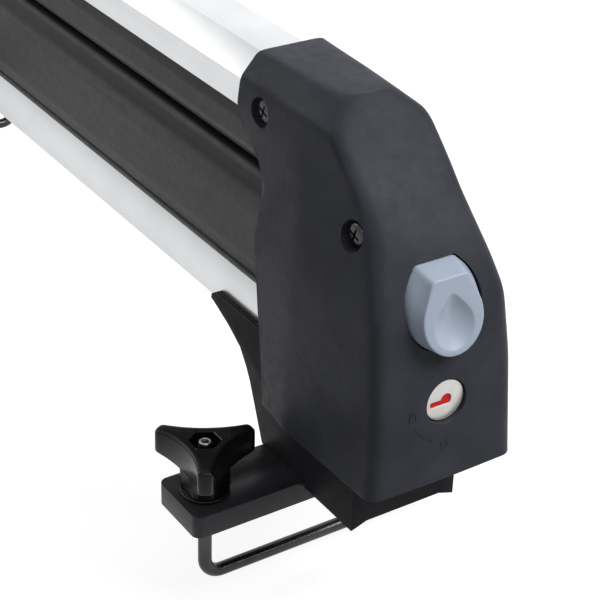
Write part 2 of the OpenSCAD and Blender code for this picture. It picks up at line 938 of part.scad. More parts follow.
module btn_body() {
  count = btn_steps + 3;
  wide = btn_outline(0);
  slim = btn_loop(btn_z, face_up, face_top_hw, face_r);
  points = concat(
    [for (p = wide) [52, p[0], p[1]]],
    [for (p = wide) [btn_skin(p[1]), p[0], p[1]]],
    [for (p = slim) [btn_face(p[1]), p[0], p[1]]]
  );
  ring = [for (i = [0:count - 1]) i];
  back = [for (i = ring) count - 1 - i];
  front = [for (i = ring) 2 * count + i];
  walls = [
    for (k = [0:1])
      for (i = ring)
        for (t = [0:1])
          let (n = (i + 1) % count, b = k * count)
            t == 0 ? [b + i, b + n, b + count + i] : [b + n, b + count + n, b + count + i]
  ];
  polyhedron(points, concat([back], [front], walls));
}

module house_inside() {
  w = house_wall;
  side = [for (i = [0:3]) [house_levels[i][1] - w, house_levels[i][0]]];
  front = [for (i = [0:5]) [house_levels[i][2] - w - slope_extra[i], house_levels[i][0]]];
  intersection() {
    along_x(house_back - 5, house_front + 10, concat([
      [0, house_z - 5],
      [house_hw - w, house_z - 5],
    ], side, [
      [house_arm_hw - w, arm_z],
      [rail_hw + run_gap, arm_z],
      [rail_hw + run_gap, arm_z + 12.4],
      [arm_top_hw + run_gap, arm_top + run_gap],
      [0, arm_top + run_gap],
    ]));
    across(house_hw + 4, concat([
      [house_back - 5, house_z - 5],
      [house_front - w, house_z - 5],
    ], front, [
      [9, arm_top + 1],
      [house_back - 5, arm_top + 1],
    ]));
  }
}

module lock_housing() {
  boss_y = carrier_hw + 0.3;
  color(black)
    difference() {
      house_outside();
      difference() {
        house_inside();
        // stop for the rail end
        block(arm_front + 0.1, arm_front + 3, -30, 30, arm_z + 2, arm_top + 1);
        // bosses for the side screws and the lock
        both_sides()
          rod_y(carrier_screw_x, -40, -boss_y, carrier_screw_z, sink_r + 1.7);
        rod_x(groove_x + 0.2, 80, 0, lock_z, sleeve_r + 3);
      }
      // sweep of the back edge
      across(50, [
        [house_back - 9, house_z - 9],
        [-3, house_z - 9],
        [-5, house_z],
        [-9, house_z + 24],
        [-14.5, house_z + 52.5],
        [-18.4, house_z + 72.5],
        [-18.8, arm_z - 28],
        [-20.6, arm_z - 21],
        [-25, arm_z - 15.4],
        [-32, arm_z - 11],
        [-38, arm_z - 7.5],
        [-41.4, arm_z - 3.6],
        [-42.8, arm_z + 3],
        [-42.3, arm_z + 13],
        [-42.3, arm_top + 5],
        [house_back - 9, arm_top + 5],
      ]);
      along_x_one(40, 90, btn_outline(btn_gap));
      rod_x(40, 70.6, 0, lock_z, sleeve_r + fit_gap);
      rod_x(70, 90, 0, lock_z, core_r + 0.6);
      both_sides() {
        rod_y(rail_screw_x, -40, -sink_y, rail_screw_z, sink_r);
        rod_y(rail_screw_x, -40, -rail_hw + 1, rail_screw_z, screw_r + hole_gap);
        rod_y(carrier_screw_x, -40, -carrier_hw - 2.6, carrier_screw_z, sink_r);
        rod_y(carrier_screw_x, -40, -carrier_hw + 1, carrier_screw_z, screw_r + hole_gap);
      }
    }
}

module housing_screws() {
  color(dark_steel)
    both_sides()
      side_screw(rail_screw_x, sink_y + side_head_t, rail_screw_z, 7.6, side_head_r, side_head_t - run_gap);
}

module carrier_screws() {
  color(dark_steel)
    both_sides()
      side_screw(carrier_screw_x, carrier_hw + 4.9, carrier_screw_z, 14, side_head_r, 2.25);
}

module latch_carrier() {
  cheek_y0 = hook_t / 2 + 1;
  cheek_y1 = cheek_y0 + 4;
  color(dark_steel)
    difference() {
      union() {
        // cross block between the side screws
        across(carrier_hw, [
          [hook_x - 10, carrier_screw_z - 6.5],
          [hook_x + 7, carrier_screw_z - 6.5],
          [hook_x + 7, carrier_screw_z + 1],
          [hook_x + 3.5, carrier_screw_z + 4.6],
          [hook_x - 10, carrier_screw_z + 4.6],
        ]);
        both_sides() {
          block(hook_x - 15, hook_x + 7.5, -cheek_y1, -cheek_y0, hook_z, carrier_screw_z);
          rod_y(hook_x, -cheek_y1, -cheek_y0, hook_z, pin_r + 4);
        }
        // front plate for the plunger, rear plate for the spring
        block(hook_x + 4.5, hook_x + 7.5, -cheek_y1, cheek_y1, hook_z + 10, carrier_screw_z);
        block(hook_x - 15, hook_x - 12, -cheek_y1, cheek_y1, hook_z + 10, carrier_screw_z);
      }
      rod_y(hook_x, -cheek_y1 - 1, cheek_y1 + 1, hook_z, pin_r + run_gap);
      rod_x(hook_x, hook_x + 12, 0, plunger_z, plunger_r + run_gap);
      both_sides()
        rod_y(carrier_screw_x, -carrier_hw - 1, -carrier_hw + 11, carrier_screw_z, screw_r + run_gap);
    }
}

module latch_pivot() {
  half = hook_t / 2 + 6.5;
  color(silver)
    rod_y(hook_x, -half, half, hook_z, pin_r);
}

module latch_hook() {
  nose_z = strike_z - pin_r - 0.2;
  color(steel)
    difference() {
      union() {
        across(hook_t / 2, [
          [hook_x - 3, hook_z + tail_up],
          [hook_x - 3, hook_z + 6],
          [hook_x - 5.5, hook_z],
          [hook_x - 5.5, nose_z],
          [strike_x + 0.5, nose_z],
          [strike_x + 0.5, nose_z - 2.5],
          [strike_x + 6, nose_z - 6.8],
          [hook_x + 1.5, nose_z - 6.8],
          [hook_x + 2.5, nose_z],
          [hook_x + 3, hook_z + 6],
          [hook_x + 3, hook_z + tail_up],
        ]);
        rod_y(hook_x, -hook_t / 2, hook_t / 2, hook_z, pin_r + 3.4);
      }
      rod_y(hook_x, -hook_t, hook_t, hook_z, pin_r + run_gap);
    }
}

module latch_spring() {
  turns = 5;
  length = 8.7;
  inner = 2.2;
  outer = 3.3;
  arc = [for (a = [-115:46:115]) [outer * cos(a), outer * sin(a)]];
  arc_in = [for (a = [115:-46:-115]) [inner * cos(a), inner * sin(a)]];
  color(silver)
    translate([hook_x - 11.9, 0, plunger_z - 2.5])
      rotate([0, 90, 0])
        linear_extrude(height = length, twist = -360 * turns, slices = 60)
          polygon(concat(arc, arc_in));
}

module lock_sleeve() {
  color(dark_steel)
    difference() {
      rod_x(50, 70.5, 0, lock_z, sleeve_r);
      rod_x(49, 72, 0, lock_z, core_r + run_gap);
      difference() {
        rod_x(groove_x - 1.6, groove_x - 0.1, 0, lock_z, sleeve_r + 1);
        rod_x(groove_x - 2, groove_x, 0, lock_z, sleeve_r - 0.9);
      }
    }
}

module lock_retainer() {
  color(steel)
    difference() {
      rod_x(groove_x - 1.5, groove_x - 0.2, 0, lock_z, sleeve_r + 3);
      rod_x(groove_x - 2, groove_x, 0, lock_z, sleeve_r - 0.85);
      block(groove_x - 2, groove_x, -6, 6, lock_z - 20, lock_z);
    }
}

// key slot grown by g: a straight part and a round part
module key_slot(x0, g) {
  low = lock_z - 2 - g;
  block(x0, core_x + 1, -key_w - g, 1, low, low + key_t + 2 * g);
  intersection() {
    rod_x(x0, core_x + 1, 0.6, lock_z + 0.1, key_r + g);
    block(x0, core_x + 1, -10, 10, low, low + 10);
  }
}

module lock_core() {
  color(silver)
    difference() {
      rod_x(49.4, core_x, 0, lock_z, core_r);
      key_slot(62, 0);
      rod_x(49, 58, 0, lock_z, 1.55);
    }
}

module key_shutter() {
  color(red)
    intersection() {
      key_slot(64.4, -run_gap);
      rod_x(60, core_x - 0.5, 0, lock_z, core_r);
    }
}

module lock_cam() {
  color(steel)
    difference() {
      union() {
        rod_x(47.1, 49.35, 0, lock_z, 8);
        block(47.1, 49.35, 0, 13, lock_z - 3, lock_z + 3);
      }
      rod_x(46, 50, 0, lock_z, 1.8);
    }
}

module cam_screw() {
  color(dark_steel) {
    rod_x(45.3, 47.05, 0, lock_z, 3.2);
    rod_x(46, 56, 0, lock_z, 1.5);
  }
}

module push_button() {
  color(button_blue) {
    difference() {
      btn_body();
      // finger dimple
      translate([btn_face(btn_z - 4) - dimple_t + dimple_r, 0, btn_z - 4])
        sphere(r = dimple_r, $fn = 96);
    }
    rod_x(52, 54.5, 0, btn_root_z - 3, btn_r + 1.6);
    rod_x(hook_x + 6, 54, 0, plunger_z, plunger_r);
    rod_x(hook_x + 3.6, hook_x + 7, 0, plunger_z, plunger_r / 2);
  }
}

base_rail();
rail_plug();
base_rubber();
lock_foot();
hinge_foot();
clamp_plate_lock();
clamp_plate_hinge();
foot_bolts();
foot_nuts();
washers_lock();
washers_hinge();
u_bolt_lock();
u_bolt_hinge();
knob_lock_near();
knob_lock_far();
knob_hinge_near();
knob_hinge_far();
nut_lock_near();
nut_lock_far();
nut_hinge_near();
nut_hinge_far();
strike_bracket();
strike_pin();
strike_screws();
hinge_tower();
tower_screws();
hinge_pin();
hinge_clips();
arm_rail();
arm_rubber();
arm_end_cap();
cap_screws();
hinge_bushes();
lock_housing();
housing_screws();
latch_carrier();
carrier_screws();
latch_pivot();
latch_spring();
lock_sleeve();
lock_retainer();
lock_core();
lock_cam();
cam_screw();
key_shutter();
push_button();
latch_hook();
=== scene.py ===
"""Looks of a ski and snowboard carrier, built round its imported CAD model.

Everything is in metres in the CAD frame: X runs along the rails towards the lock, Z is up, and the
origin is the middle of the underside of the lock-end clamp plate. Sizes in the classes are in
millimetres and are turned to metres when a mesh is made.
"""

import json
import logging
import math
from dataclasses import dataclass
from enum import Enum
from typing import Callable, Sequence

import bmesh
import bpy
from mathutils import Matrix, Vector

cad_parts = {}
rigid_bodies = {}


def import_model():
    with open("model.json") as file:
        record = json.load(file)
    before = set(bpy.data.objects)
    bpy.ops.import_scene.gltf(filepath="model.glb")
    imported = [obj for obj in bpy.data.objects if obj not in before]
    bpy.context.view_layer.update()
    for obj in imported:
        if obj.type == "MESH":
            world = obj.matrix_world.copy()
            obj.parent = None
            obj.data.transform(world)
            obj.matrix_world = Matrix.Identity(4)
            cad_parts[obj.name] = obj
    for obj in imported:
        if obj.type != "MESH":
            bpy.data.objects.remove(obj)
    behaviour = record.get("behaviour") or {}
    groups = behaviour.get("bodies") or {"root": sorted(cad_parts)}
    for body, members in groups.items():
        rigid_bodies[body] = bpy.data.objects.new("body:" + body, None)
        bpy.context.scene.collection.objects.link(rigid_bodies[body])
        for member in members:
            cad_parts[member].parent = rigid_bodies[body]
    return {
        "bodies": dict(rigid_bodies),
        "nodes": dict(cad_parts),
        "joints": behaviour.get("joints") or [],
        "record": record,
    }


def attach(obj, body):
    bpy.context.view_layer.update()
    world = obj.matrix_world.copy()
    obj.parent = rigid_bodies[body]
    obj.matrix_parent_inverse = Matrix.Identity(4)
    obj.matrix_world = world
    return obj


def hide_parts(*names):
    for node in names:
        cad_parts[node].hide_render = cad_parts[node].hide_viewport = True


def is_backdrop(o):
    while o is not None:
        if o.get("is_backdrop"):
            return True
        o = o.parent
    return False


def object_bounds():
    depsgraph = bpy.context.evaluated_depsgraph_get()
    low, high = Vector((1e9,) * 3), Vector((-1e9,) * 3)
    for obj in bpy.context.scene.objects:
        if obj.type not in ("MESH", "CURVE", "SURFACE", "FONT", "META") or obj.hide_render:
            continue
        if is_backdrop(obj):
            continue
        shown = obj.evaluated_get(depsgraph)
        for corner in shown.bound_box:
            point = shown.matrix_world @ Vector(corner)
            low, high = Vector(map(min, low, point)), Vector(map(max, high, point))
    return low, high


MM = 0.001
SPAN = 470.0  # between the clamps
LEG = 64.65  # a U-bolt's leg from the middle
LOCK_Z = 75.5  # height of the lock's middle
CAP_SCREW = (-26, 163.6)  # x and z of the housing's screws in the arm rail
CARRIER_SCREW = (42, 140)  # x and z of the housing's screws in the latch carrier
CLAMP_DROP = 0.009  # metres; how far a loosened U-bolt sinks, with room to spare
LOG = logging.getLogger("ski_carrier")

Point2 = tuple[float, float]
Point3 = tuple[float, float, float]
Loop2 = list[Point2]
Ring = list[Point3]
Row = tuple[Loop2, Callable[[float], float]]  # a loop and its height by radius


# Finishes


class Grain(Enum):
    """How the surface of a finish is broken up."""

    MOULDED = "moulded"
    STREAKED = "streaked"
    EXTRUDED = "extruded"
    PLATED = "plated"
    POLISHED = "polished"


@dataclass(frozen=True)
class Finish:
    """A procedural surface.

    Args:
        name: name of the material.
        grain: pattern of the fine relief.
        base: main colour, linear.
        second: colour that the main one drifts to.
        rough: middle roughness.
        spread: how much the roughness drifts.
        metal: metallic share.
        relief: depth of the fine relief in millimetres.
        fine: size of the fine relief, in features a metre.
        specular: strength of the reflection of a plastic.
        coat: share of clear gloss on top.
    """

    name: str
    grain: Grain
    base: Point3
    second: Point3
    rough: float
    spread: float = 0.08
    metal: float = 0.0
    relief: float = 0.02
    fine: float = 1800.0
    specular: float = 0.5
    coat: float = 0.0

    def build(self) -> bpy.types.Material:
        """Makes the node material.

        Returns:
            The new material.
        """
        mat = bpy.data.materials.new(self.name)
        mat.use_nodes = True
        tree = mat.node_tree
        nodes, links = tree.nodes, tree.links
        nodes.clear()
        out = nodes.new("ShaderNodeOutputMaterial")
        bsdf = nodes.new("ShaderNodeBsdfPrincipled")
        links.new(bsdf.outputs["BSDF"], out.inputs["Surface"])
        bsdf.inputs["Metallic"].default_value = self.metal
        bsdf.inputs["Specular IOR Level"].default_value = self.specular
        bsdf.inputs["Coat Weight"].default_value = self.coat
        bsdf.inputs["Coat Roughness"].default_value = 0.12

        coord = nodes.new("ShaderNodeTexCoord")
        mapping = nodes.new("ShaderNodeMapping")
        links.new(coord.outputs["Object"], mapping.inputs["Vector"])
        stretch = {Grain.STREAKED: (0.012, 1, 1), Grain.EXTRUDED: (0.02, 1, 1)}
        mapping.inputs["Scale"].default_value = stretch.get(self.grain, (1, 1, 1))

        cloud = self._noise(tree, coord.outputs["Object"], 38.0, 3.0)
        fine = self._noise(tree, mapping.outputs["Vector"], self.fine, 4.0)
        patch = self._noise(tree, coord.outputs["Object"], 240.0, 2.0)

        colour = nodes.new("ShaderNodeMix")
        colour.data_type = "RGBA"
        colour.inputs[6].default_value = (*self.base, 1)
        colour.inputs[7].default_value = (*self.second, 1)
        links.new(self._range(tree, cloud, 0.35, 0.68, 0.0, 1.0), colour.inputs[0])
        links.new(colour.outputs[2], bsdf.inputs["Base Color"])

        low, high = max(0.04, self.rough - self.spread), min(1.0, self.rough + self.spread)
        drift = nodes.new("ShaderNodeMath")
        drift.operation = "ADD"
        links.new(self._range(tree, patch, 0.3, 0.7, low * 0.5, high * 0.5), drift.inputs[0])
        links.new(self._range(tree, fine, 0.3, 0.7, low * 0.5, high * 0.5), drift.inputs[1])
        links.new(drift.outputs[0], bsdf.inputs["Roughness"])

        bump = nodes.new("ShaderNodeBump")
        bump.inputs["Strength"].default_value = 1.0
        bump.inputs["Distance"].default_value = self.relief * MM
        links.new(fine, bump.inputs["Height"])
        soft = nodes.new("ShaderNodeBump")
        soft.inputs["Strength"].default_value = 0.6
        soft.inputs["Distance"].default_value = self.relief * MM * 2
        links.new(patch, soft.inputs["Height"])
        links.new(soft.outputs["Normal"], bump.inputs["Normal"])
        links.new(bump.outputs["Normal"], bsdf.inputs["Normal"])
        return mat

    @staticmethod
    def _noise(
        tree: bpy.types.NodeTree, vector: bpy.types.NodeSocket, scale: float, detail: float
    ) -> bpy.types.NodeSocket:
        """Adds a noise texture.

        Args:
            tree: node tree of the material.
            vector: where the noise is read.
            scale: features a metre.
            detail: octaves of the noise.

        Returns:
            The noise's value socket.
        """
        node = tree.nodes.new("ShaderNodeTexNoise")
        node.inputs["Scale"].default_value = scale
        node.inputs["Detail"].default_value = detail
        tree.links.new(vector, node.inputs["Vector"])
        return node.outputs["Fac"]

    @staticmethod
    def _range(
        tree: bpy.types.NodeTree, value: bpy.types.NodeSocket, a: float, b: float, c: float, d: float
    ) -> bpy.types.NodeSocket:
        """Maps a value to another range.

        Args:
            tree: node tree of the material.
            value: socket that is mapped.
            a: lower end of the input.
            b: upper end of the input.
            c: result at a.
            d: result at b.

        Returns:
            The result socket.
        """
        node = tree.nodes.new("ShaderNodeMapRange")
        for i, x in enumerate((a, b, c, d)):
            node.inputs[i + 1].default_value = x
        tree.links.new(value, node.inputs[0])
        return node.outputs[0]


class Palette:
    """All finishes of the carrier, built once."""

    FINISHES = {
        "moulded": Finish(
            "black_moulded", Grain.MOULDED, (0.0340, 0.0356, 0.0440), (0.0480, 0.0500, 0.0600), 0.43, 0.12,
            relief=0.07, fine=2100, specular=0.065
        ),
        # Dark moulding of the feet and rail plug; on the lock sleeve it is painted shade deep in the lock
        # hole
        "foot": Finish(
            "black_foot", Grain.MOULDED, (0.013, 0.013, 0.0155), (0.018, 0.018, 0.021), 0.5, 0.08,
            relief=0.03, fine=2200, specular=0.05
        ),
        "gloss": Finish(
            "black_gloss", Grain.POLISHED, (0.005, 0.005, 0.006), (0.008, 0.008, 0.009), 0.25, 0.06,
            relief=0.008, fine=900, specular=0.15, coat=0.04
        ),
        "coated": Finish(
            "black_coated", Grain.MOULDED, (0.021, 0.021, 0.025), (0.028, 0.028, 0.033), 0.37, 0.08,
            relief=0.02, fine=1800, specular=0.22
        ),
        # Dark zinc; on the side screws its darkness is partly their own finish, partly painted shade of
        # their deep counterbores
        "rod": Finish(
            "black_zinc", Grain.PLATED, (0.065, 0.065, 0.067), (0.038, 0.038, 0.040), 0.28, 0.1, metal=0.9,
            relief=0.015, fine=1500
        ),
        "rubber": Finish(
            "cushion_rubber", Grain.EXTRUDED, (0.0095, 0.0093, 0.0118), (0.0145, 0.0140, 0.0165), 0.42,
            0.07, relief=0.02, fine=900, specular=0.19
        ),
        "rail": Finish(
            "rail_anodised", Grain.STREAKED, (0.70, 0.71, 0.72), (0.66, 0.67, 0.68), 0.32, 0.05, metal=0.9,
            relief=0.004, fine=2600
        ),
        "steel": Finish(
            "zinc_steel", Grain.PLATED, (0.56, 0.56, 0.57), (0.48, 0.485, 0.5), 0.33, 0.08, metal=1.0,
            relief=0.008, fine=1400
        ),
        "face": Finish(
            "lock_plate", Grain.PLATED, (0.68, 0.665, 0.63), (0.60, 0.59, 0.56), 0.38, 0.06, metal=0.6,
            relief=0.006, fine=2000
        ),
        "red": Finish(
            "shutter_red", Grain.POLISHED, (0.80, 0.012, 0.012), (0.66, 0.010, 0.010), 0.4, 0.05,
            relief=0.005, fine=900, specular=0.15
        ),
        "button": Finish(
            "button_blue_grey", Grain.MOULDED, (0.385, 0.450, 0.548), (0.36, 0.42, 0.515), 0.39, 0.05,
            relief=0.012, fine=2200, specular=0.34
        ),
    }

    def __init__(self) -> None:
        """Builds every finish."""
        self._built = {key: f.build() for key, f in self.FINISHES.items()}

    def __getitem__(self, key: str) -> bpy.types.Material:
        """The material of a finish."""
        return self._built[key]


# Mesh tools


def metres(points: Sequence[Point3]) -> list[Vector]:
    """Turns millimetre points to metre vectors."""
    return [Vector(p) * MM for p in points]


def mesh_object(name: str, verts: Sequence[Point3], faces: Sequence[Sequence[int]]) -> bpy.types.Object:
    """Makes an object from millimetre points, with doubles merged and faces outward.

    Args:
        name: name of object and mesh.
        verts: points in millimetres.
        faces: point indices of each face.

    Returns:
        The new object, linked to the scene.
    """
    mesh = bpy.data.meshes.new(name)
    mesh.from_pydata(metres(verts), [], [list(f) for f in faces])
    bm = bmesh.new()
    bm.from_mesh(mesh)
    bmesh.ops.remove_doubles(bm, verts=bm.verts, dist=1e-6)
    bmesh.ops.dissolve_degenerate(bm, edges=bm.edges, dist=1e-7)
    bmesh.ops.recalc_face_normals(bm, faces=bm.faces)
    bm.to_mesh(mesh)
    bm.free()
    obj = bpy.data.objects.new(name, mesh)
    bpy.context.scene.collection.objects.link(obj)
    return obj


def loft(name: str, rings: Sequence[Ring], closed: bool = False) -> bpy.types.Object:
    """Skins a row of rings with equal point counts.

    Args:
        name: name of the object.
        rings: rings in order.
        closed: True joins the last ring to the first; False caps both ends.

    Returns:
        The new object.
    """
    n = len(rings[0])
    verts = [p for ring in rings for p in ring]
    faces: list[list[int]] = []
    rows = len(rings)
    for r in range(rows if closed else rows - 1):
        a, b = r * n, ((r + 1) % rows) * n
        for i in range(n):
            j = (i + 1) % n
            faces.append([a + i, a + j, b + j, b + i])
    if not closed:
        faces.append(list(range(n)))
        faces.append([(rows - 1) * n + i for i in range(n)])
    return mesh_object(name, verts, faces)


def apply_modifiers(obj: bpy.types.Object) -> bpy.types.Object:
    """Replaces the mesh of obj by its evaluated one and removes the modifiers.

    Args:
        obj: object with modifiers.

    Returns:
        The same object.
    """
    graph = bpy.context.evaluated_depsgraph_get()
    mesh = bpy.data.meshes.new_from_object(
        obj.evaluated_get(graph), preserve_all_data_layers=True, depsgraph=graph
    )
    obj.modifiers.clear()
    obj.data = mesh
    return obj


def bevel(obj: bpy.types.Object, width: float, segments: int = 3, angle: float = 32.0) -> bpy.types.Object:
    """Rounds the sharp edges of obj.

    Args:
        obj: mesh to round.
        width: width of the rounding in millimetres.
        segments: steps across it.
        angle: edges sharper than this many degrees are rounded.

    Returns:
        The same object.
    """
    mod = obj.modifiers.new("round", "BEVEL")
    mod.width = width * MM
    mod.segments = segments
    mod.limit_method = "ANGLE"
    mod.angle_limit = math.radians(angle)
    mod.use_clamp_overlap = True
    return apply_modifiers(obj)


def combine(obj: bpy.types.Object, others: Sequence[bpy.types.Object], how: str) -> bpy.types.Object:
    """Cuts or joins solids.

    Args:
        obj: the solid that is changed.
        others: solids that are used up.
        how: DIFFERENCE, UNION or INTERSECT.

    Returns:
        The changed object.
    """
    for other in others:
        mod = obj.modifiers.new("solid", "BOOLEAN")
        mod.operation = how
        mod.solver = "EXACT"
        mod.object = other
        apply_modifiers(obj)
        bpy.data.objects.remove(other)
    return obj


def soften(obj: bpy.types.Object, angle: float = 38.0) -> bpy.types.Object:
    """Smooth shading with sharp edges above the angle.

    Args:
        obj: object to shade.
        angle: edges sharper than this many degrees stay sharp.

    Returns:
        The same object.
    """
    obj.data.polygons.foreach_set("use_smooth", [True] * len(obj.data.polygons))
    obj.data.set_sharp_from_angle(angle=math.radians(angle))
    return obj


def join(name: str, parts: Sequence[bpy.types.Object]) -> bpy.types.Object:
    """Joins separate closed shells that belong to one piece.

    Args:
        name: name of the new object.
        parts: shells that are used up.

    Returns:
        The new object.
    """
    bm = bmesh.new()
    for part in parts:
        bm.from_mesh(part.data)
    mesh = bpy.data.meshes.new(name)
    bm.to_mesh(mesh)
    bm.free()
    for part in parts:
        bpy.data.objects.remove(part)
    obj = bpy.data.objects.new(name, mesh)
    bpy.context.scene.collection.objects.link(obj)
    return obj


def rod(
    name: str, axis: str, a: float, b: float, centre: Point2, radius: float, count: int = 48
) -> bpy.types.Object:
    """A round bar along an axis.

    Args:
        name: name of the object.
        axis: X, Y or Z.
        a: start along the axis in millimetres.
        b: end along the axis.
        centre: the two other coordinates, in X, Y, Z order.
        radius: radius of the bar.
        count: number of sides.

    Returns:
        The new object.
    """

    def at(t: float, u: float, v: float) -> Point3:
        """The point t along the axis with the two other coordinates."""
        return {"X": (t, u, v), "Y": (u, t, v), "Z": (u, v, t)}[axis]

    turns = [2 * math.pi * i / count for i in range(count)]
    rings = [
        [at(t, centre[0] + radius * math.cos(w), centre[1] + radius * math.sin(w)) for w in turns]
        for t in (a, b)
    ]
    return loft(name, rings)


def prism_x(name: str, loop: Loop2, x0: float, x1: float) -> bpy.types.Object:
    """A prism along X over a loop of (y, z)."""
    return loft(name, [[(x, y, z) for y, z in loop] for x in (x0, x1)])


def fillet(points: Sequence[Point2], radii: Sequence[float], steps: int = 6) -> Loop2:
    """Rounds the corners of a closed polygon.

    Args:
        points: corners.
        radii: radius of each corner, 0 keeps it sharp.
        steps: steps of each arc.

    Returns:
        The rounded loop.
    """
    made: Loop2 = []
    n = len(points)
    for i, (p, r) in enumerate(zip(points, radii)):
        here, prev, nxt = Vector(p), Vector(points[i - 1]), Vector(points[(i + 1) % n])
        u, v = (prev - here).normalized(), (nxt - here).normalized()
        half = math.acos(max(-1.0, min(1.0, u.dot(v)))) / 2
        if r <= 0 or half > math.pi / 2 - 0.02:
            made.append((here.x, here.y))
            continue
        cut = min(r / math.tan(half), (prev - here).length * 0.49, (nxt - here).length * 0.49)
        a, b = here + u * cut, here + v * cut
        for k in range(steps + 1):
            t = k / steps
            q = a * (1 - t) ** 2 + here * 2 * t * (1 - t) + b * t * t
            made.append((q.x, q.y))
    return made


def resample(loop: Sequence[Point2], count: int) -> Loop2:
    """Points at equal distances round a closed loop.

    Args:
        loop: corners of the loop.
        count: number of points.

    Returns:
        The points, from the loop's first corner on.
    """
    pts = [Vector(p) for p in loop] + [Vector(loop[0])]
    lengths = [0.0]
    for a, b in zip(pts, pts[1:]):
        lengths.append(lengths[-1] + (b - a).length)
    made: Loop2 = []
    k = 0
    for i in range(count):
        s = lengths[-1] * i / count
        while lengths[k + 1] < s:
            k += 1
        span = lengths[k + 1] - lengths[k] or 1.0
        q = pts[k].lerp(pts[k + 1], (s - lengths[k]) / span)
        made.append((q.x, q.y))
    return made


def profile(table: Sequence[Point2], blend: float) -> Callable[[float], float]:
    """A line through a table of (position, value), with its corners blended.

    Args:
        table: positions in rising order with their values.
        blend: half length over which a corner is spread.

    Returns:
        A function of the position.
    """

    def line(t: float) -> float:
        """The value between two rows of the table."""
        for (a, va), (b, vb) in zip(table, table[1:]):
            if t <= b:
                break
        return va + (vb - va) * (t - a) / (b - a)

    def blended(t: float) -> float:
        """The mean of the line over the blend."""
        steps = 8
        return sum(line(t + blend * (2 * (k + 0.5) / steps - 1)) for k in range(steps)) / steps

    return blended


# Repeated pieces by geometry nodes


class NodeTool:
    """Builds small geometry node groups with named inputs."""

    def __init__(self, name: str) -> None:
        """Starts a group.

        Args:
            name: name of the group.
        """
        self.group = bpy.data.node_groups.new(name, "GeometryNodeTree")
        self.group.interface.new_socket("Geometry", in_out="INPUT", socket_type="NodeSocketGeometry")
        self.group.interface.new_socket("Geometry", in_out="OUTPUT", socket_type="NodeSocketGeometry")
        self.start = self.group.nodes.new("NodeGroupInput")
        self.end = self.group.nodes.new("NodeGroupOutput")
        self.ids: dict[str, str] = {}

    def add_input(self, name: str, kind: str) -> None:
        """Adds a named input of a socket kind such as NodeSocketFloat."""
        self.ids[name] = self.group.interface.new_socket(name, in_out="INPUT", socket_type=kind).identifier

    def node(self, kind: str, **values: object) -> bpy.types.Node:
        """Adds a node.

        Args:
            kind: type of the node.
            values: node attributes, or input defaults where the name is an input.

        Returns:
            The new node.
        """
        made = self.group.nodes.new(kind)
        for key, value in values.items():
            if hasattr(made, key):
                setattr(made, key, value)
            else:
                made.inputs[key.replace("_", " ")].default_value = value
        return made

    def link(self, a: bpy.types.NodeSocket, b: bpy.types.NodeSocket) -> None:
        """Links two sockets."""
        self.group.links.new(a, b)

    def close(self, geometry: bpy.types.NodeSocket, material: bpy.types.NodeSocket) -> None:
        """Ends the group in Realize Instances and Set Material.

        Args:
            geometry: socket with the finished geometry.
            material: socket with its finish.
        """
        real = self.node("GeometryNodeRealizeInstances")
        paint = self.node("GeometryNodeSetMaterial")
        self.link(geometry, real.inputs[0])
        self.link(real.outputs[0], paint.inputs["Geometry"])
        self.link(material, paint.inputs["Material"])
        self.link(paint.outputs[0], self.end.inputs[0])

    def run(self, obj: bpy.types.Object, values: dict[str, object]) -> bpy.types.Object:
        """Runs the group on obj with the given input values and keeps the plain mesh.

        Args:
            obj: object that carries the modifier.
            values: value of each named input.

        Returns:
            The same object with its new mesh.
        """
        mod = obj.modifiers.new(self.group.name, "NODES")
        mod.node_group = self.group
        for name, value in values.items():
            mod[self.ids[name]] = value
        return apply_modifiers(obj)


def scatter_tool() -> NodeTool:
    """A group that puts one object at every point, turned by the point's spin attribute.

    Returns:
        The group, with the inputs Piece and Finish.
    """
    tool = NodeTool("set_at_points")
    tool.add_input("Piece", "NodeSocketObject")
    tool.add_input("Finish", "NodeSocketMaterial")
    info = tool.node("GeometryNodeObjectInfo")
    spin = tool.node("GeometryNodeInputNamedAttribute", data_type="FLOAT_VECTOR")
    spin.inputs["Name"].default_value = "spin"
    put = tool.node("GeometryNodeInstanceOnPoints")
    turn = tool.node("FunctionNodeEulerToRotation")
    tool.link(tool.start.outputs["Piece"], info.inputs["Object"])
    tool.link(tool.start.outputs["Geometry"], put.inputs["Points"])
    tool.link(info.outputs["Geometry"], put.inputs["Instance"])
    tool.link(spin.outputs["Attribute"], turn.inputs[0])
    tool.link(turn.outputs[0], put.inputs["Rotation"])
    tool.close(put.outputs[0], tool.start.outputs["Finish"])
    return tool


def thread_tool() -> NodeTool:
    """A group that winds a ridge round the Z axis: a spiral swept by a small circle.

    Returns:
        The group, with the inputs Turns, Radius, Length, Ridge and Finish.
    """
    tool = NodeTool("wind_thread")
    for name in ("Turns", "Radius", "Length", "Ridge"):
        tool.add_input(name, "NodeSocketFloat")
    tool.add_input("Finish", "NodeSocketMaterial")
    spiral = tool.node("GeometryNodeCurveSpiral")
    spiral.inputs["Resolution"].default_value = 20
    ring = tool.node("GeometryNodeCurvePrimitiveCircle")
    ring.inputs["Resolution"].default_value = 5
    sweep = tool.node("GeometryNodeCurveToMesh")
    sweep.inputs["Fill Caps"].default_value = True
    tool.link(tool.start.outputs["Turns"], spiral.inputs["Rotations"])
    tool.link(tool.start.outputs["Radius"], spiral.inputs["Start Radius"])
    tool.link(tool.start.outputs["Radius"], spiral.inputs["End Radius"])
    tool.link(tool.start.outputs["Length"], spiral.inputs["Height"])
    tool.link(tool.start.outputs["Ridge"], ring.inputs["Radius"])
    tool.link(spiral.outputs[0], sweep.inputs["Curve"])
    tool.link(ring.outputs[0], sweep.inputs["Profile Curve"])
    tool.close(sweep.outputs[0], tool.start.outputs["Finish"])
    return tool


# The carrier


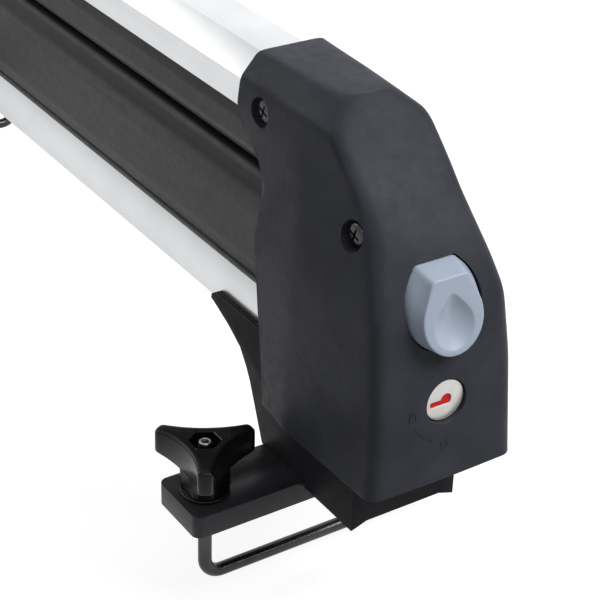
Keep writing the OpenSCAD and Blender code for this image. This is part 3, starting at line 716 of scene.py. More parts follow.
class Workshop:
    """Puts finished pieces on their bodies."""

    def __init__(self, frame: dict, palette: Palette) -> None:
        """Takes what the pieces need.

        Args:
            palette: the finishes.
        """
        self.nodes: dict[str, bpy.types.Object] = frame["nodes"]
        self.palette = palette
        self.made: list[str] = []

    def place(
        self, obj: bpy.types.Object, body: str, finish: str, slot: str, replaces: Sequence[str] = (),
        angle: float = 38.0
    ) -> bpy.types.Object:
        """Gives obj its finish and lets it ride on a body.

        Args:
            obj: finished mesh.
            body: CAD body that carries it.
            finish: key of the palette.
            slot: material slot of the record; not used.
            replaces: CAD nodes that it stands for.
            angle: edges sharper than this stay sharp.

        Returns:
            The same object.
        """
        obj.data.materials.clear()
        obj.data.materials.append(self.palette[finish])
        for face in obj.data.polygons:
            face.material_index = 0
        soften(obj, angle)
        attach(obj, body)
        if replaces:
            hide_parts(*replaces)
        self.made.append(obj.name)
        return obj

    def rounded(
        self, node: str, body: str, finish: str, slot: str, width: float, segments: int = 3
    ) -> bpy.types.Object:
        """Stands in for a CAD node with the same shape and rounded edges.

        Args:
            node: the CAD node.
            body: CAD body that carries it.
            finish: key of the palette.
            slot: material slot of the record.
            width: width of the rounding in millimetres.
            segments: steps across it.

        Returns:
            The new object.
        """
        mesh = self.nodes[node].data.copy()
        mesh.name = node + "_look"
        bm = bmesh.new()
        bm.from_mesh(mesh)
        bmesh.ops.remove_doubles(bm, verts=bm.verts, dist=2e-6)
        bmesh.ops.dissolve_limit(
            bm, angle_limit=math.radians(1.2), verts=bm.verts, edges=bm.edges, delimit=set()
        )
        bm.to_mesh(mesh)
        bm.free()
        obj = bpy.data.objects.new(node + "_look", mesh)
        bpy.context.scene.collection.objects.link(obj)
        bevel(obj, width, segments)
        return self.place(obj, body, finish, slot, [node])

    def paint(self, node: str, finish: str) -> None:
        """Gives a CAD node that stays in sight its finish.

        Args:
            node: the CAD node.
            finish: key of the palette.
        """
        obj = self.nodes[node]
        obj.data.materials.clear()
        obj.data.materials.append(self.palette[finish])


@dataclass
class Housing:
    """Black moulding round the near end of the arm.

    Args:
        low: bottom edge.
        high: flat top.
        wall: wall thickness.
        corner: radius of the front edges.
        top_half: half width of the flat top.
        chamfer_z: where the side turns into the top slope.
    """

    low: float = 40.5
    high: float = 182.4
    wall: float = 3.0
    corner: float = 6.0
    top_half: float = 12.0
    chamfer_z: float = 172.5

    REAR_TOP = 15.5  # half width of the flat top at its rear end
    LEVELS = (62, 12, 8)  # steps up the side, up the top slope, over half the flat top
    POINTS = (22, 8, 11)  # steps along the side, round the corner, over half the front
    # Tables of (height, value): half width, front, back, how much narrower the front is, and the
    # ridge where the side turns in
    WIDTH = (
        (0, 38.5), (40.5, 36.6), (63.5, 35.6), (85.5, 35), (113.5, 33.5), (126.5, 31), (139.5, 28.5),
        (150.5, 26.2), (160.5, 25), (172.5, 24), (220, 24)
    )
    FRONT = (
        (0, 79.2), (40.5, 76.3), (64, 74.8), (85.5, 73), (113.5, 68.6), (127, 62.6), (139.5, 55.3),
        (154.5, 43.2), (172.5, 24.4), (182.5, 14), (220, -25)
    )
    BACK = (
        (0, -3), (40.5, -5), (64.5, -9), (93, -14.5), (113, -18.4), (130, -18.8), (137, -20.6),
        (142.6, -25), (147, -32), (150.5, -38), (154.4, -41.4), (161, -42.8), (171, -42.3), (220, -42.3)
    )
    NARROW = (
        (0, 0.8), (40.5, 0.8), (64, 1.0), (85.5, 1.2), (113.5, 1.6), (127, 2.2), (139.5, 2.9), (150, 2.6),
        (160, 1.4), (172.5, 0.5), (220, 0.5)
    )
    RIDGE = ((0, 16), (54.7, 15.3), (101, 14.5), (122.5, 12.5), (141.7, 9), (159, 1), (172, -8), (220, -20))

    def __post_init__(self) -> None:
        """Turns the tables to blended lines."""
        self._width = profile(self.WIDTH, 5)
        self._front = profile(self.FRONT, 4)
        self._back = profile(self.BACK, 1.6)
        self._ridge = profile(self.RIDGE, 8)
        self._narrow = profile(self.NARROW, 5)

    def _side_curve(self) -> list[tuple[float, float, float]]:
        """The outline across, from the bottom up to the middle of the top.

        Returns:
            Levels as (half width, height, share of the flat top's widening).
        """
        count, slope, flat = self.LEVELS
        levels = [self.low + (self.chamfer_z - self.low) * i / count for i in range(count + 1)]
        curve = [(self._width(z), z, 0.0) for z in levels]
        edge = curve[-1][0]
        for i in range(1, slope + 1):
            t = i / slope
            curve.append(
                (edge + (self.top_half - edge) * t, self.chamfer_z + (self.high - self.chamfer_z) * t, t)
            )
        curve += [(self.top_half * (1 - i / flat), self.high, 1 - i / flat) for i in range(1, flat + 1)]
        for _ in range(3):
            inner = [
                tuple((a[k] + 2 * b[k] + c[k]) / 4 for k in range(3))
                for a, b, c in zip(curve, curve[1:], curve[2:])
            ]
            curve = [curve[0], *inner, (0.0, self.high, 0.0)]
        return curve

    def _row(self, half: float, z: float, widen: float) -> Ring:
        """Points round the housing at one level.

        Args:
            half: half width at the level.
            z: height.
            widen: share of the flat top's widening.

        Returns:
            The points, from the rear edge on -Y to that on +Y.
        """
        front, back = self._front(min(z, self.high)), self._back(z)
        taper = min(2.6, half * 0.2) * (1 if z < 150 else max(0.0, 1 - (z - 150) / 12))
        ridge = min(self._ridge(z), front - 14)
        round_ = max(0.01, min(self.corner + max(0.0, 1 - abs(z - 138) / 25), half * 0.8))
        narrow = min(self._narrow(z), half * 0.1)
        grow = (self.REAR_TOP - self.top_half) * widen
        side: list[Point2] = []
        count, turn, face = self.POINTS
        for i in range(count):
            x = back + (front - round_ - back) * i / count
            rear = taper * max(0.0, (ridge - x) / max(1.0, ridge - back))
            fore = narrow * max(0.0, (x - ridge) / (front - round_ - ridge))
            side.append((x, half - rear - fore + grow * (front - x) / (front - back)))
        for i in range(turn + 1):
            a = math.pi / 2 * i / turn
            side.append(
                (front - round_ + round_ * math.sin(a), half - narrow - round_ + round_ * math.cos(a))
            )
        for i in range(1, face + 1):
            side.append(
                (front + 0.5 * math.sin(math.pi / 2 * i / face), (half - narrow - round_) * (1 - i / face))
            )
        low = [(x, -y, z) for x, y in side]
        high = [(x, y, z) for x, y in reversed(side[:-1])]
        return low + high

    @staticmethod
    def _relax(rows: list[Ring]) -> list[Ring]:
        """Moves each inner point half way to the mean of its neighbours; edges keep their place.

        Args:
            rows: points of the outside, level by level.

        Returns:
            The moved points.
        """
        made = [list(r) for r in rows]
        for v in range(1, len(rows) - 1):
            for u in range(1, len(rows[v]) - 1):
                near = (rows[v - 1][u], rows[v + 1][u], rows[v][u - 1], rows[v][u + 1])
                made[v][u] = tuple(0.5 * rows[v][u][k] + 0.125 * sum(p[k] for p in near) for k in range(3))
        return made

    def outside(self) -> bpy.types.Object:
        """The whole outside as one closed solid.

        Returns:
            The solid.
        """
        rows = [self._row(*level) for level in self._side_curve()]
        for _ in range(2):
            rows = self._relax(rows)
        n = len(rows[0])
        verts = [p for r in rows for p in r]
        faces: list[list[int]] = []
        for v in range(len(rows) - 1):
            a, b = v * n, (v + 1) * n
            faces += [[a + u, a + u + 1, b + u + 1, b + u] for u in range(n - 1)]
            faces.append([a + n - 1, a, b, b + n - 1])
        faces.append(list(range(n)))
        return mesh_object("lock_housing_look", verts, faces)

    def inside(self) -> bpy.types.Object:
        """The room inside, shaped to the arm rail above, with the bosses left out of it.

        Returns:
            The solid that is cut away.
        """
        w = self.wall
        half = [
            (35.9 - w, 30), (35.9 - w, 40.5), (34.1 - w, 85.5), (32 - w, 113.5), (25.6 - w, 139.5),
            (22, 158), (21.55, 158), (21.55, 170.4), (10.55, 179.05)
        ]
        room = prism_x("inside", half + [(-y, z) for y, z in reversed(half)], -60, 90)
        line = [
            (-60, 30), (76.3 - w, 30), (76.3 - w, 40.5), (73 - w, 85.5), (68.2 - w, 113.5),
            (54.1 - w, 139.5), (36.3 - w, 159.5), (22.9 - w, 172.5), (9, 180), (-60, 180)
        ]
        across = loft("inside", [[(x, y, z) for x, z in line] for y in (-40, 40)])
        combine(room, [across], "INTERSECT")
        solid = [rod("boss", "Y", s * 20.3, s * 40, CARRIER_SCREW, 8.0) for s in (-1, 1)]
        solid += [
            rod("boss", "X", 56, 80, (0, LOCK_Z), 14.0),
            prism_x("stop", [(-30, 160), (30, 160), (30, 180), (-30, 180)], -1.9, 1)
        ]
        return combine(room, solid, "DIFFERENCE")

    def front_at(self, z: float) -> float:
        """Where the front surface is at height z."""
        return self._front(z)

    def build(self, button: "Button") -> bpy.types.Object:
        """The housing with the openings for button, lock and screws.

        Args:
            button: gives the outline of its hole.

        Returns:
            The finished housing.
        """
        body = self.outside()
        cuts = [
            self.inside(), prism_x("cut", button.outline(0.6), 40, 90),
            rod("cut", "X", 50, 70.6, (0, LOCK_Z), 11.1, 64),
            rod("cut", "X", 60, 90, (0, LOCK_Z), 9.6, 96),
        ]
        for s in (-1, 1):
            cuts += [
                rod("cut", "Y", s * 21.9, s * 40, CAP_SCREW, 6.3, 64),
                rod("cut", "Y", s * 20, s * 40, CAP_SCREW, 2.8),
                rod("cut", "Y", s * 22.6, s * 40, CARRIER_SCREW, 6.3, 64),
                rod("cut", "Y", s * 19, s * 40, CARRIER_SCREW, 2.8),
            ]
        combine(body, cuts, "DIFFERENCE")
        return bevel(body, 0.45, 2, 50)


@dataclass(frozen=True)
class Drop:
    """Outline of the button: flat top, straight sides, round bottom.

    Args:
        z: height of the middle of the round part.
        radius: radius of the round part.
        up: flat top above that middle.
        half: half width of the flat top.
        corner: radius of the two top corners.
    """

    z: float
    radius: float
    up: float
    half: float
    corner: float

    def loop(self, grow: float = 0.0, count: int = 120) -> Loop2:
        """The outline grown by a distance.

        Args:
            grow: how far it grows outward.
            count: number of points.

        Returns:
            The outline as (y, z).
        """
        r, up, hw = self.radius + grow, self.up + grow, self.half + grow
        turn = math.atan2(up, hw) - math.acos(r / math.hypot(up, hw))
        arc = [turn - (math.pi + 2 * turn) * i / 48 for i in range(49)]
        pts = [(hw, up), *((r * math.cos(a), r * math.sin(a)) for a in arc), (-hw, up)]
        radii = [self.corner, *[0.0] * 49, self.corner]
        return [(y, self.z + z) for y, z in resample(fillet(pts, radii, 8), count)]


@dataclass
class Button:
    """Blue-grey push button with a finger dimple.

    Args:
        root: outline where it leaves the housing.
        face: outline of its front.
        dimple: depth of the dimple.
        dimple_r: radius of the dimple.
        dimple_up: apex of the dimple above its middle.
    """

    root: Drop = Drop(115.5, 17.6, 15.7, 9.0, 2.6)
    face: Drop = Drop(112.7, 14.3, 16.4, 8.4, 2.6)
    dimple: float = 3.3
    dimple_r: float = 9.4
    dimple_up: float = 14.6

    DIMPLE_BELOW = 2.6  # middle of the dimple below that of the face
    PLUNGER_Z = 123.8
    # Rounding of the front edge as (inset, set back), and the dimple's rings as shares of its radius
    EDGES = ((0.06, 0.42), (0.24, 0.16), (0.55, 0.02), (0.9, 0.0))
    SHARES = (1.06, 1.03, 1.0, 0.97, 0.94, 0.9, 0.84, 0.76, 0.67, 0.57, 0.46, 0.35, 0.24, 0.13, 0.04)

    def outline(self, gap: float) -> Loop2:
        """Outline of the hole in the housing with a gap all round."""
        return self.root.loop(gap)

    def _front_x(self, z: float) -> float:
        """Where the leaning front face is at height z."""
        return 74.7 + (self.face.z - z) * 0.25

    def _skin_x(self, z: float) -> float:
        """Where the button's collar leaves the housing at height z."""
        return 60.2 + (131.7 - z) * 0.34

    def _rim(self, y: float, z: float) -> float:
        """Radius of the dimple in a direction.

        Args:
            y: across, from the middle of the dimple.
            z: up, from the middle of the dimple.

        Returns:
            The radius: a circle drawn out to an apex on top.
        """
        off = abs(math.atan2(y, z))
        tangent = math.acos(self.dimple_r / self.dimple_up)
        return self.dimple_r / math.cos(max(0.0, tangent - math.hypot(off, 0.15)))

    def build(self) -> bpy.types.Object:
        """The button as one closed solid.

        Returns:
            The cap with its flange and plunger.
        """
        rings: list[Ring] = [[(52.0, y, z) for y, z in self.root.loop()]]
        for t in (0.0, 0.5, 1.0):
            loop = [
                (a + (c - a) * t, b + (d - b) * t)
                for (a, b), (c, d) in zip(self.root.loop(), self.face.loop())
            ]
            rings.append(
                [(self._skin_x(z) * (1 - t) + (self._front_x(z) - 0.75) * t, y, z) for y, z in loop]
            )
        for inset, back in self.EDGES:
            rings.append([(self._front_x(z) - back, y, z) for y, z in self.face.loop(-inset)])
        rim = self.face.loop(-0.9)
        cy, cz = 0.0, self.face.z - self.DIMPLE_BELOW
        steps = [(1.0, k / 4) for k in (1, 2, 3)] + [(u, 1.0) for u in self.SHARES]
        for u, share in steps:
            v = 1 - u * u
            deep = self.dimple * 0.5 * (v + math.sqrt(v * v + 0.003)) if share == 1.0 else 0.0
            row = []
            for y, z in rim:
                dy, dz = y - cy, z - cz
                far = math.hypot(dy, dz)
                edge = min(self._rim(dy, dz), far * 0.9)
                q = edge * u if share == 1.0 else far + (edge * 1.08 - far) * share
                zz = cz + dz / far * q
                row.append((self._front_x(zz) - deep, cy + dy / far * q, zz))
            rings.append(row)
        cap = loft("push_button_look", rings)
        parts = [
            rod("flange", "X", 52.2, 54.5, (0, self.root.z - 3), self.root.radius + 1.6, 64),
            rod("plunger", "X", 46, 53, (0, self.PLUNGER_Z), 4.0),
            rod("tip", "X", 43.6, 47, (0, self.PLUNGER_Z), 2.0),
        ]
        return combine(cap, parts, "UNION")


@dataclass(frozen=True)
class Star:
    """Outline of three blunt lobes joined by hollow sides.

    Args:
        tip: radius to the flat end of a lobe.
        half: half width of a lobe's end.
        corner: radius of the corners of the end.
        valley: radius to the bottom of a hollow side.
    """

    tip: float
    half: float
    corner: float
    valley: float

    def loop(self, inset: float, count: int) -> Loop2:
        """The outline moved inward by inset, with count points.

        Args:
            inset: how far it moves inward, in millimetres.
            count: number of points.

        Returns:
            The closed outline.
        """
        c60, s60 = 0.5, math.sin(math.pi / 3)
        px, py = (self.tip - 1) * c60 + self.half * s60, (self.tip - 1) * s60 - self.half * c60
        centre = (px * px + py * py - self.valley**2) / (2 * (px - self.valley))
        r = centre - self.valley
        reach = math.atan2(py, centre - px)
        fine: Loop2 = []
        for k in range(3):
            corners: Loop2 = []
            for side in (-1, 1):
                cx, cy = self.tip - self.corner, side * (self.half - self.corner)
                angles = [side * math.pi / 2 * (0.92 - 0.92 * i / 8) for i in range(9)]
                arc = [(cx + self.corner * math.cos(a), cy + self.corner * math.sin(a)) for a in angles]
                corners += arc if side < 0 else arc[::-1]
            hollow = [
                (centre - r * math.cos(a), -r * math.sin(a))
                for a in (reach * (0.93 - 1.86 * i / 24) for i in range(25))
            ]
            for pts, turn in ((corners, k * 2 * math.pi / 3), (hollow, k * 2 * math.pi / 3 + math.pi / 3)):
                c, s = math.cos(turn), math.sin(turn)
                fine += [(x * c - y * s, x * s + y * c) for x, y in pts]
        even = resample(fine, count)
        for _ in range(2):
            even = [
                (
                    (even[i - 1][0] + 2 * p[0] + even[(i + 1) % count][0]) / 4,
                    (even[i - 1][1] + 2 * p[1] + even[(i + 1) % count][1]) / 4
                )
                for i, p in enumerate(even)
            ]
        made: Loop2 = []
        for i, p in enumerate(even):
            d = (Vector(even[(i + 1) % count]) - Vector(even[i - 1])).normalized()
            made.append((p[0] - d.y * inset, p[1] + d.x * inset))
        return made


@dataclass
class Knob:
    """Three-lobed knob with a fluted hub, a hex recess and a bore.

    Args:
        body: outline of the lobes.
        hub: outline of the hub.
        top: height of its top.
        drop: fall of the domed top towards the tips.
        edge: underside of the lobes at their ends.
        under: underside of the lobes at the hub.
        low: bottom of the hub.
    """

    body: Star = Star(23.2, 3.4, 2.1, 9.7)
    hub: Star = Star(10.6, 4.6, 2.0, 8.1)
    top: float = 36.0
    drop: float = 1.2
    edge: float = 24.4
    under: float = 22.1
    low: float = 12.05

    COUNT = 216
    CROWN = 8  # radius from which the top falls

    def build(self, name: str, x: float, y: float) -> bpy.types.Object:
        """A knob with one lobe along +Y on the near side and -Y on the far side.

        Args:
            name: name of the object.
            x: place along the rails.
            y: place across.

        Returns:
            The knob.
        """
        n = self.COUNT
        like = self.body.loop(1.2, n)
        sixth = math.pi / 6

        def hexagon(r: float) -> Callable[[float], float]:
            """Radius of a hexagon, by angle; r is that of its corners."""
            return lambda a: r * math.cos(sixth) / math.cos(((a + sixth) % (math.pi / 3)) - sixth)

        def polar(radius: Callable[[float], float]) -> Loop2:
            """A loop from its radius by angle, with its points where the body's are."""
            turns = [math.atan2(v, u) for u, v in like]
            return [(radius(a) * math.cos(a), radius(a) * math.sin(a)) for a in turns]

        def flat(loop: Loop2, z: float) -> Row:
            """A level row."""
            return loop, lambda r: z

        def slanted(loop: Loop2, lift: float) -> Row:
            """A row on the underside of the lobes."""
            valley, rise = self.body.valley, self.edge - self.under
            span = self.body.tip - valley
            return loop, lambda r: lift + self.under + rise * max(0.0, r - valley) / span

        def domed(loop: Loop2, lower: float) -> Row:
            """A row on the domed top."""
            span = self.body.tip - self.CROWN
            return loop, lambda r: self.top - lower - self.drop * (max(0.0, r - self.CROWN) / span) ** 1.5

        def between(t: float) -> Loop2:
            """A loop between the rim of the top and that of the hex recess."""
            inner = polar(hexagon(7.4))
            return [(a * (1 - t) + c * t, b * (1 - t) + d * t) for (a, b), (c, d) in zip(like, inner)]

        hub, body = self.hub.loop, self.body.loop
        rows: list[Row] = [
            flat(hub(0.4, n), self.low), flat(hub(0.0, n), self.low + 0.4),
            flat(hub(0.15, n), self.under - 1.4), flat(hub(0.0, n), self.under - 0.3)
        ]
        rows += [slanted(body(1.0, n), 0.0), slanted(body(0.3, n), 0.2), slanted(body(0.0, n), 0.8)]
        rows += [
            domed(body(0.05, n), 1.5), domed(body(0.2, n), 0.75), domed(body(0.55, n), 0.22),
            domed(like, 0.0)
        ]
        rows += [domed(between(k / 5), 0.0) for k in range(1, 5)]
        rows += [
            flat(polar(hexagon(7.2)), self.top), flat(polar(hexagon(6.8)), self.top - 0.3),
            flat(polar(hexagon(6.75)), self.top - 8.4), flat(polar(hexagon(5.88)), self.top - 8.5)
        ]
        rows += [
            flat(polar(hexagon(5.87)), self.top - 14), flat(polar(lambda a: 3.3), self.top - 14),
            flat(polar(lambda a: 3.3), self.low)
        ]
        turn = math.radians(-90 if y > 0 else 90)
        c, s = math.cos(turn), math.sin(turn)
        rings = [
            [(x + u * c - v * s, y + u * s + v * c, height(math.hypot(u, v))) for u, v in loop]
            for loop, height in rows
        ]
        return loft(name, rings, closed=True)


@dataclass
class Cushion:
    """Hollow rubber cushion on the slot of a rail.

    Args:
        name: name of the piece.
        half: corners of the right half as (y, z, radius), from the slot to the middle of the crown.
        x0: far end.
        x1: near end.
        hollow_z: (low, high) of the hollow inside.
        hollow_half: half width of the hollow.
    """

    name: str
    half: tuple[tuple[float, float, float], ...]
    x0: float
    x1: float
    hollow_z: Point2
    hollow_half: float = 14.6

    COUNT = 220

    def build(self) -> bpy.types.Object:
        """The cushion as one closed tube.

        Returns:
            The cushion.
        """
        full = list(self.half) + [(-y, z, r) for y, z, r in reversed(self.half)]
        outer = resample(fillet([(y, z) for y, z, _ in full], [r for _, _, r in full], 8), self.COUNT)
        z0, z1 = self.hollow_z
        w = self.hollow_half
        pts = [
            (0, z0), (w - 3, z0), (w, z0 + (z1 - z0) * 0.3), (w, z0 + (z1 - z0) * 0.62),
            (w - 4.5, z1 - 1.2), (0, z1)
        ]
        pts += [(-y, z) for y, z in reversed(pts[1:-1])]
        inner = resample(fillet(pts, [0, 3, 8, 8, 5, 0, 5, 8, 8, 3], 6), self.COUNT)
        if (outer[1][0] > 0) != (inner[1][0] > 0):
            inner = [inner[0]] + inner[:0:-1]
        rings: list[Ring] = []
        for x, loop in ((self.x0, inner), (self.x0, outer), (self.x1, outer), (self.x1, inner)):
            rings.append([(x, y, z) for y, z in loop])
        return loft(self.name, rings, closed=True)


@dataclass
class UBolt:
    """Bent rod with threaded legs.

    Args:
        x: position along the rails.
        leg: distance of a leg from the middle.
        radius: radius of the plain rod.
        top: top of the legs.
        run: middle of the run below.
        bend: bend radius.
        thread_low: where the thread ends.
        ridge: height of the thread.
    """

    x: float
    leg: float = LEG
    radius: float = 3.0
    top: float = 35.5
    run: float = -34.5
    bend: float = 8.5
    thread_low: float = -7.0
    ridge: float = 0.27

    STEPS = 12
    SIDES = 28
    # Rings of the chamfer as (radius, depth below the top)
    CHAMFER = ((2.55, 0.32), (2.55, 0.2), (2.2, 0.0), (1.78, 0.0), (1.7, 0.06), (1.7, 0.32))

    def rod(self, name: str) -> bpy.types.Object:
        """The bent rod; its threaded part is a little thinner.

        Args:
            name: name of the object.

        Returns:
            The rod.
        """
        core = self.radius - 0.24
        path: list[tuple[Vector, Vector, float]] = []
        down = Vector((0, 0, -1))
        for z, r in (
            (self.top - 0.1, core - 0.35), (self.top - 0.4, core), (self.thread_low + 0.6, core),
            (self.thread_low, self.radius)
        ):
            path.append((Vector((self.x, -self.leg, z)), down, r))
        for i in range(self.STEPS + 1):
            a = math.pi / 2 * i / self.STEPS
            centre = Vector((self.x, -self.leg + self.bend, self.run + self.bend))
            out = Vector((0, -math.cos(a), -math.sin(a)))
            path.append((centre + out * self.bend, Vector((0, math.sin(a), -math.cos(a))), self.radius))
        full = path + [(Vector((p.x, -p.y, p.z)), Vector((0, d.y, -d.z)), r) for p, d, r in reversed(path)]
        rings: list[Ring] = []
        side = Vector((1, 0, 0))
        for p, d, r in full:
            other = d.normalized().cross(side)
            rings.append(
                [
                    tuple(p + side * (r * math.cos(t)) + other * (r * math.sin(t)))
                    for t in (2 * math.pi * k / self.SIDES for k in range(self.SIDES))
                ]
            )
        return loft(name, rings)

    def ends(self, name: str) -> bpy.types.Object:
        """The bright chamfers round the cut ends of both legs.

        Args:
            name: name of the object.

        Returns:
            Both rings as one object.
        """
        turns = [2 * math.pi * k / 48 for k in range(48)]
        cut = []
        for side in (-1, 1):
            rings = [
                [
                    (self.x + r * math.cos(t), side * self.leg + r * math.sin(t), self.top - low)
                    for t in turns
                ]
                for r, low in self.CHAMFER
            ]
            cut.append(loft(name, rings, closed=True))
        return join(name, cut)

    def build(self, name: str, tool: NodeTool, finish: bpy.types.Material) -> bpy.types.Object:
        """The rod with its two wound threads.

        Args:
            name: name of the object.
            tool: winds the threads.
            finish: material of the threads.

        Returns:
            The U-bolt.
        """
        parts = [self.rod(name + "_rod")]
        length = self.top - 0.8 - self.thread_low
        for s in (-1, 1):
            carrier = mesh_object(name + "_thread", [(0, 0, 0)], [])
            tool.run(
                carrier,
                {
                    "Turns": length, "Radius": (self.radius - self.ridge) * MM, "Length": length * MM,
                    "Ridge": self.ridge * MM, "Finish": finish
                }
            )
            carrier.data.transform(Matrix.Translation(Vector((self.x, s * self.leg, self.thread_low)) * MM))
            parts.append(carrier)
        return join(name, parts)


@dataclass
class ScrewSet:
    """Equal pan-head screws with a cross recess, set from the side.

    Args:
        name: name of the piece.
        x: position along the rails.
        z: height.
        head_y: distance of the head's outside from the middle.
        head_r: radius of the head.
        head_t: thickness of the head.
        shank_r: radius of the shank.
        length: whole length.
    """

    name: str
    x: float
    z: float
    head_y: float
    head_r: float
    head_t: float
    shank_r: float
    length: float

    def one(self) -> bpy.types.Object:
        """One screw along +Z, its head's outside at z 0.

        Returns:
            The screw.
        """
        r, t = self.head_r, self.head_t
        half = [
            (0.01, 0), (r * 0.55, -0.05), (r * 0.82, -t * 0.18), (r * 0.97, -t * 0.5), (r, -t),
            (self.shank_r, -t), (self.shank_r, -self.length + 0.8), (self.shank_r - 0.8, -self.length),
            (0.01, -self.length)
        ]
        rings = [
            [(q * math.cos(a), q * math.sin(a), z) for a in (2 * math.pi * k / 40 for k in range(40))]
            for q, z in half
        ]
        screw = loft("screw", rings)
        arms = []
        for u, v in ((r * 0.58, 0.55), (0.55, r * 0.58)):
            arms.append(
                mesh_object(
                    "arm",
                    [
                        (a * u, b * v, c) for c in (-t * 0.75, 1.0)
                        for a, b in ((-1, -1), (1, -1), (1, 1), (-1, 1))
                    ],
                    [(0, 1, 2, 3), (4, 5, 6, 7), (0, 1, 5, 4), (1, 2, 6, 5), (2, 3, 7, 6), (3, 0, 4, 7)]
                )
            )
        return combine(screw, arms, "DIFFERENCE")

    def build(self, tool: NodeTool, finish: bpy.types.Material) -> bpy.types.Object:
        """Both screws as one mesh.

        Args:
            tool: sets a piece at points.
            finish: material of the screws.

        Returns:
            The two screws as one mesh.
        """
        screw = self.one()
        obj = mesh_object(self.name, [(self.x, s * self.head_y, self.z) for s in (-1, 1)], [])
        spins = sorted(((v.co.y, i) for i, v in enumerate(obj.data.vertices)))
        attr = obj.data.attributes.new("spin", "FLOAT_VECTOR", "POINT")
        attr.data[spins[0][1]].vector = (math.pi / 2, 0.35, 0.0)
        attr.data[spins[1][1]].vector = (-math.pi / 2, 0.8, 0.0)
        tool.run(obj, {"Piece": screw, "Finish": finish})
        bpy.data.objects.remove(screw)
        return obj


class LockSigns:
    """Small raised padlocks and a turning arrow beside the lock."""

    ARC = 16.6  # radius of the arrow's arc
    THIN, WIDE = 0.4, 0.42  # width of the strokes of the arrow and the padlocks

    def __init__(self, housing: Housing) -> None:
        """Takes the surface.

        Args:
            housing: what the signs stand on.
        """
        self.housing = housing

    def _stroke(self, pts: Sequence[Point2], wide: float, closed: bool = False) -> bpy.types.Object:
        """A flat stroke, 0.2 mm proud of the surface.

        Args:
            pts: points of the line as (y, z).
            wide: width of the stroke.
            closed: True joins the last point to the first.

        Returns:
            The stroke.
        """
        n = len(pts)
        left, right = [], []
        for i, p in enumerate(pts):
            a = pts[i - 1] if closed or i else p
            b = pts[(i + 1) % n] if closed or i < n - 1 else p
            d = (Vector(b) - Vector(a)).normalized()
            q = Vector((-d.y, d.x)) * wide / 2
            left.append((p[0] + q.x, p[1] + q.y))
            right.append((p[0] - q.x, p[1] - q.y))
        verts: list[Point3] = []
        for lift in (-0.3, 0.22):
            for row in (left, right):
                verts += [(self.housing.front_at(z) + 0.42 * math.cos(y / 19) + lift, y, z) for y, z in row]
        faces = []
        for i in range(n if closed else n - 1):
            j = (i + 1) % n
            faces += [
                [2 * n + i, 2 * n + j, 3 * n + j, 3 * n + i], [n + i, n + j, j, i],
                [i, j, 2 * n + j, 2 * n + i], [n + i, 3 * n + i, 3 * n + j, n + j]
            ]
        if not closed:
            for i in (0, n - 1):
                faces.append([i, n + i, 3 * n + i, 2 * n + i])
        return mesh_object("stroke", verts, faces)

    def padlock(self, y: float, z: float, is_open: bool) -> list[bpy.types.Object]:
        """A small padlock.

        Args:
            y: middle of its box across.
            z: height of its box.
            is_open: True lifts the bow to one side.

        Returns:
            Box and bow.
        """
        box = [(y - 1.5, z - 1.9), (y + 1.5, z - 1.9), (y + 1.5, z + 0.5), (y - 1.5, z + 0.5)]
        shift = 1.9 if is_open else 0.0
        bow = [(y + shift - 1.0, z + 0.5)] + [
            (y + shift + math.cos(a), z + 1.2 + 0.95 * math.sin(a))
            for a in (math.pi * (1 - k / 8) for k in range(9))
        ]
        if not is_open:
            bow.append((y + 1.0, z + 0.5))
        return [self._stroke(box, self.WIDE, True), self._stroke(bow, self.WIDE)]

    def build(self) -> bpy.types.Object:
        """All signs as one piece.

        Returns:
            The signs.
        """
        parts = self.padlock(-16.2, 73.4, False) + self.padlock(-1.0, 57.2, True)
        far = self.ARC
        arc = [
            (far * math.cos(a), LOCK_Z + far * math.sin(a))
            for a in (math.radians(205 + 42 * k / 14) for k in range(15))
        ]
        parts.append(self._stroke(arc, self.THIN))
        y, z = arc[-1]
        parts.append(self._stroke([(y - 1.9, z - 0.5), (y, z), (y - 0.9, z + 1.7)], self.THIN))
        return join("lock_signs", parts)


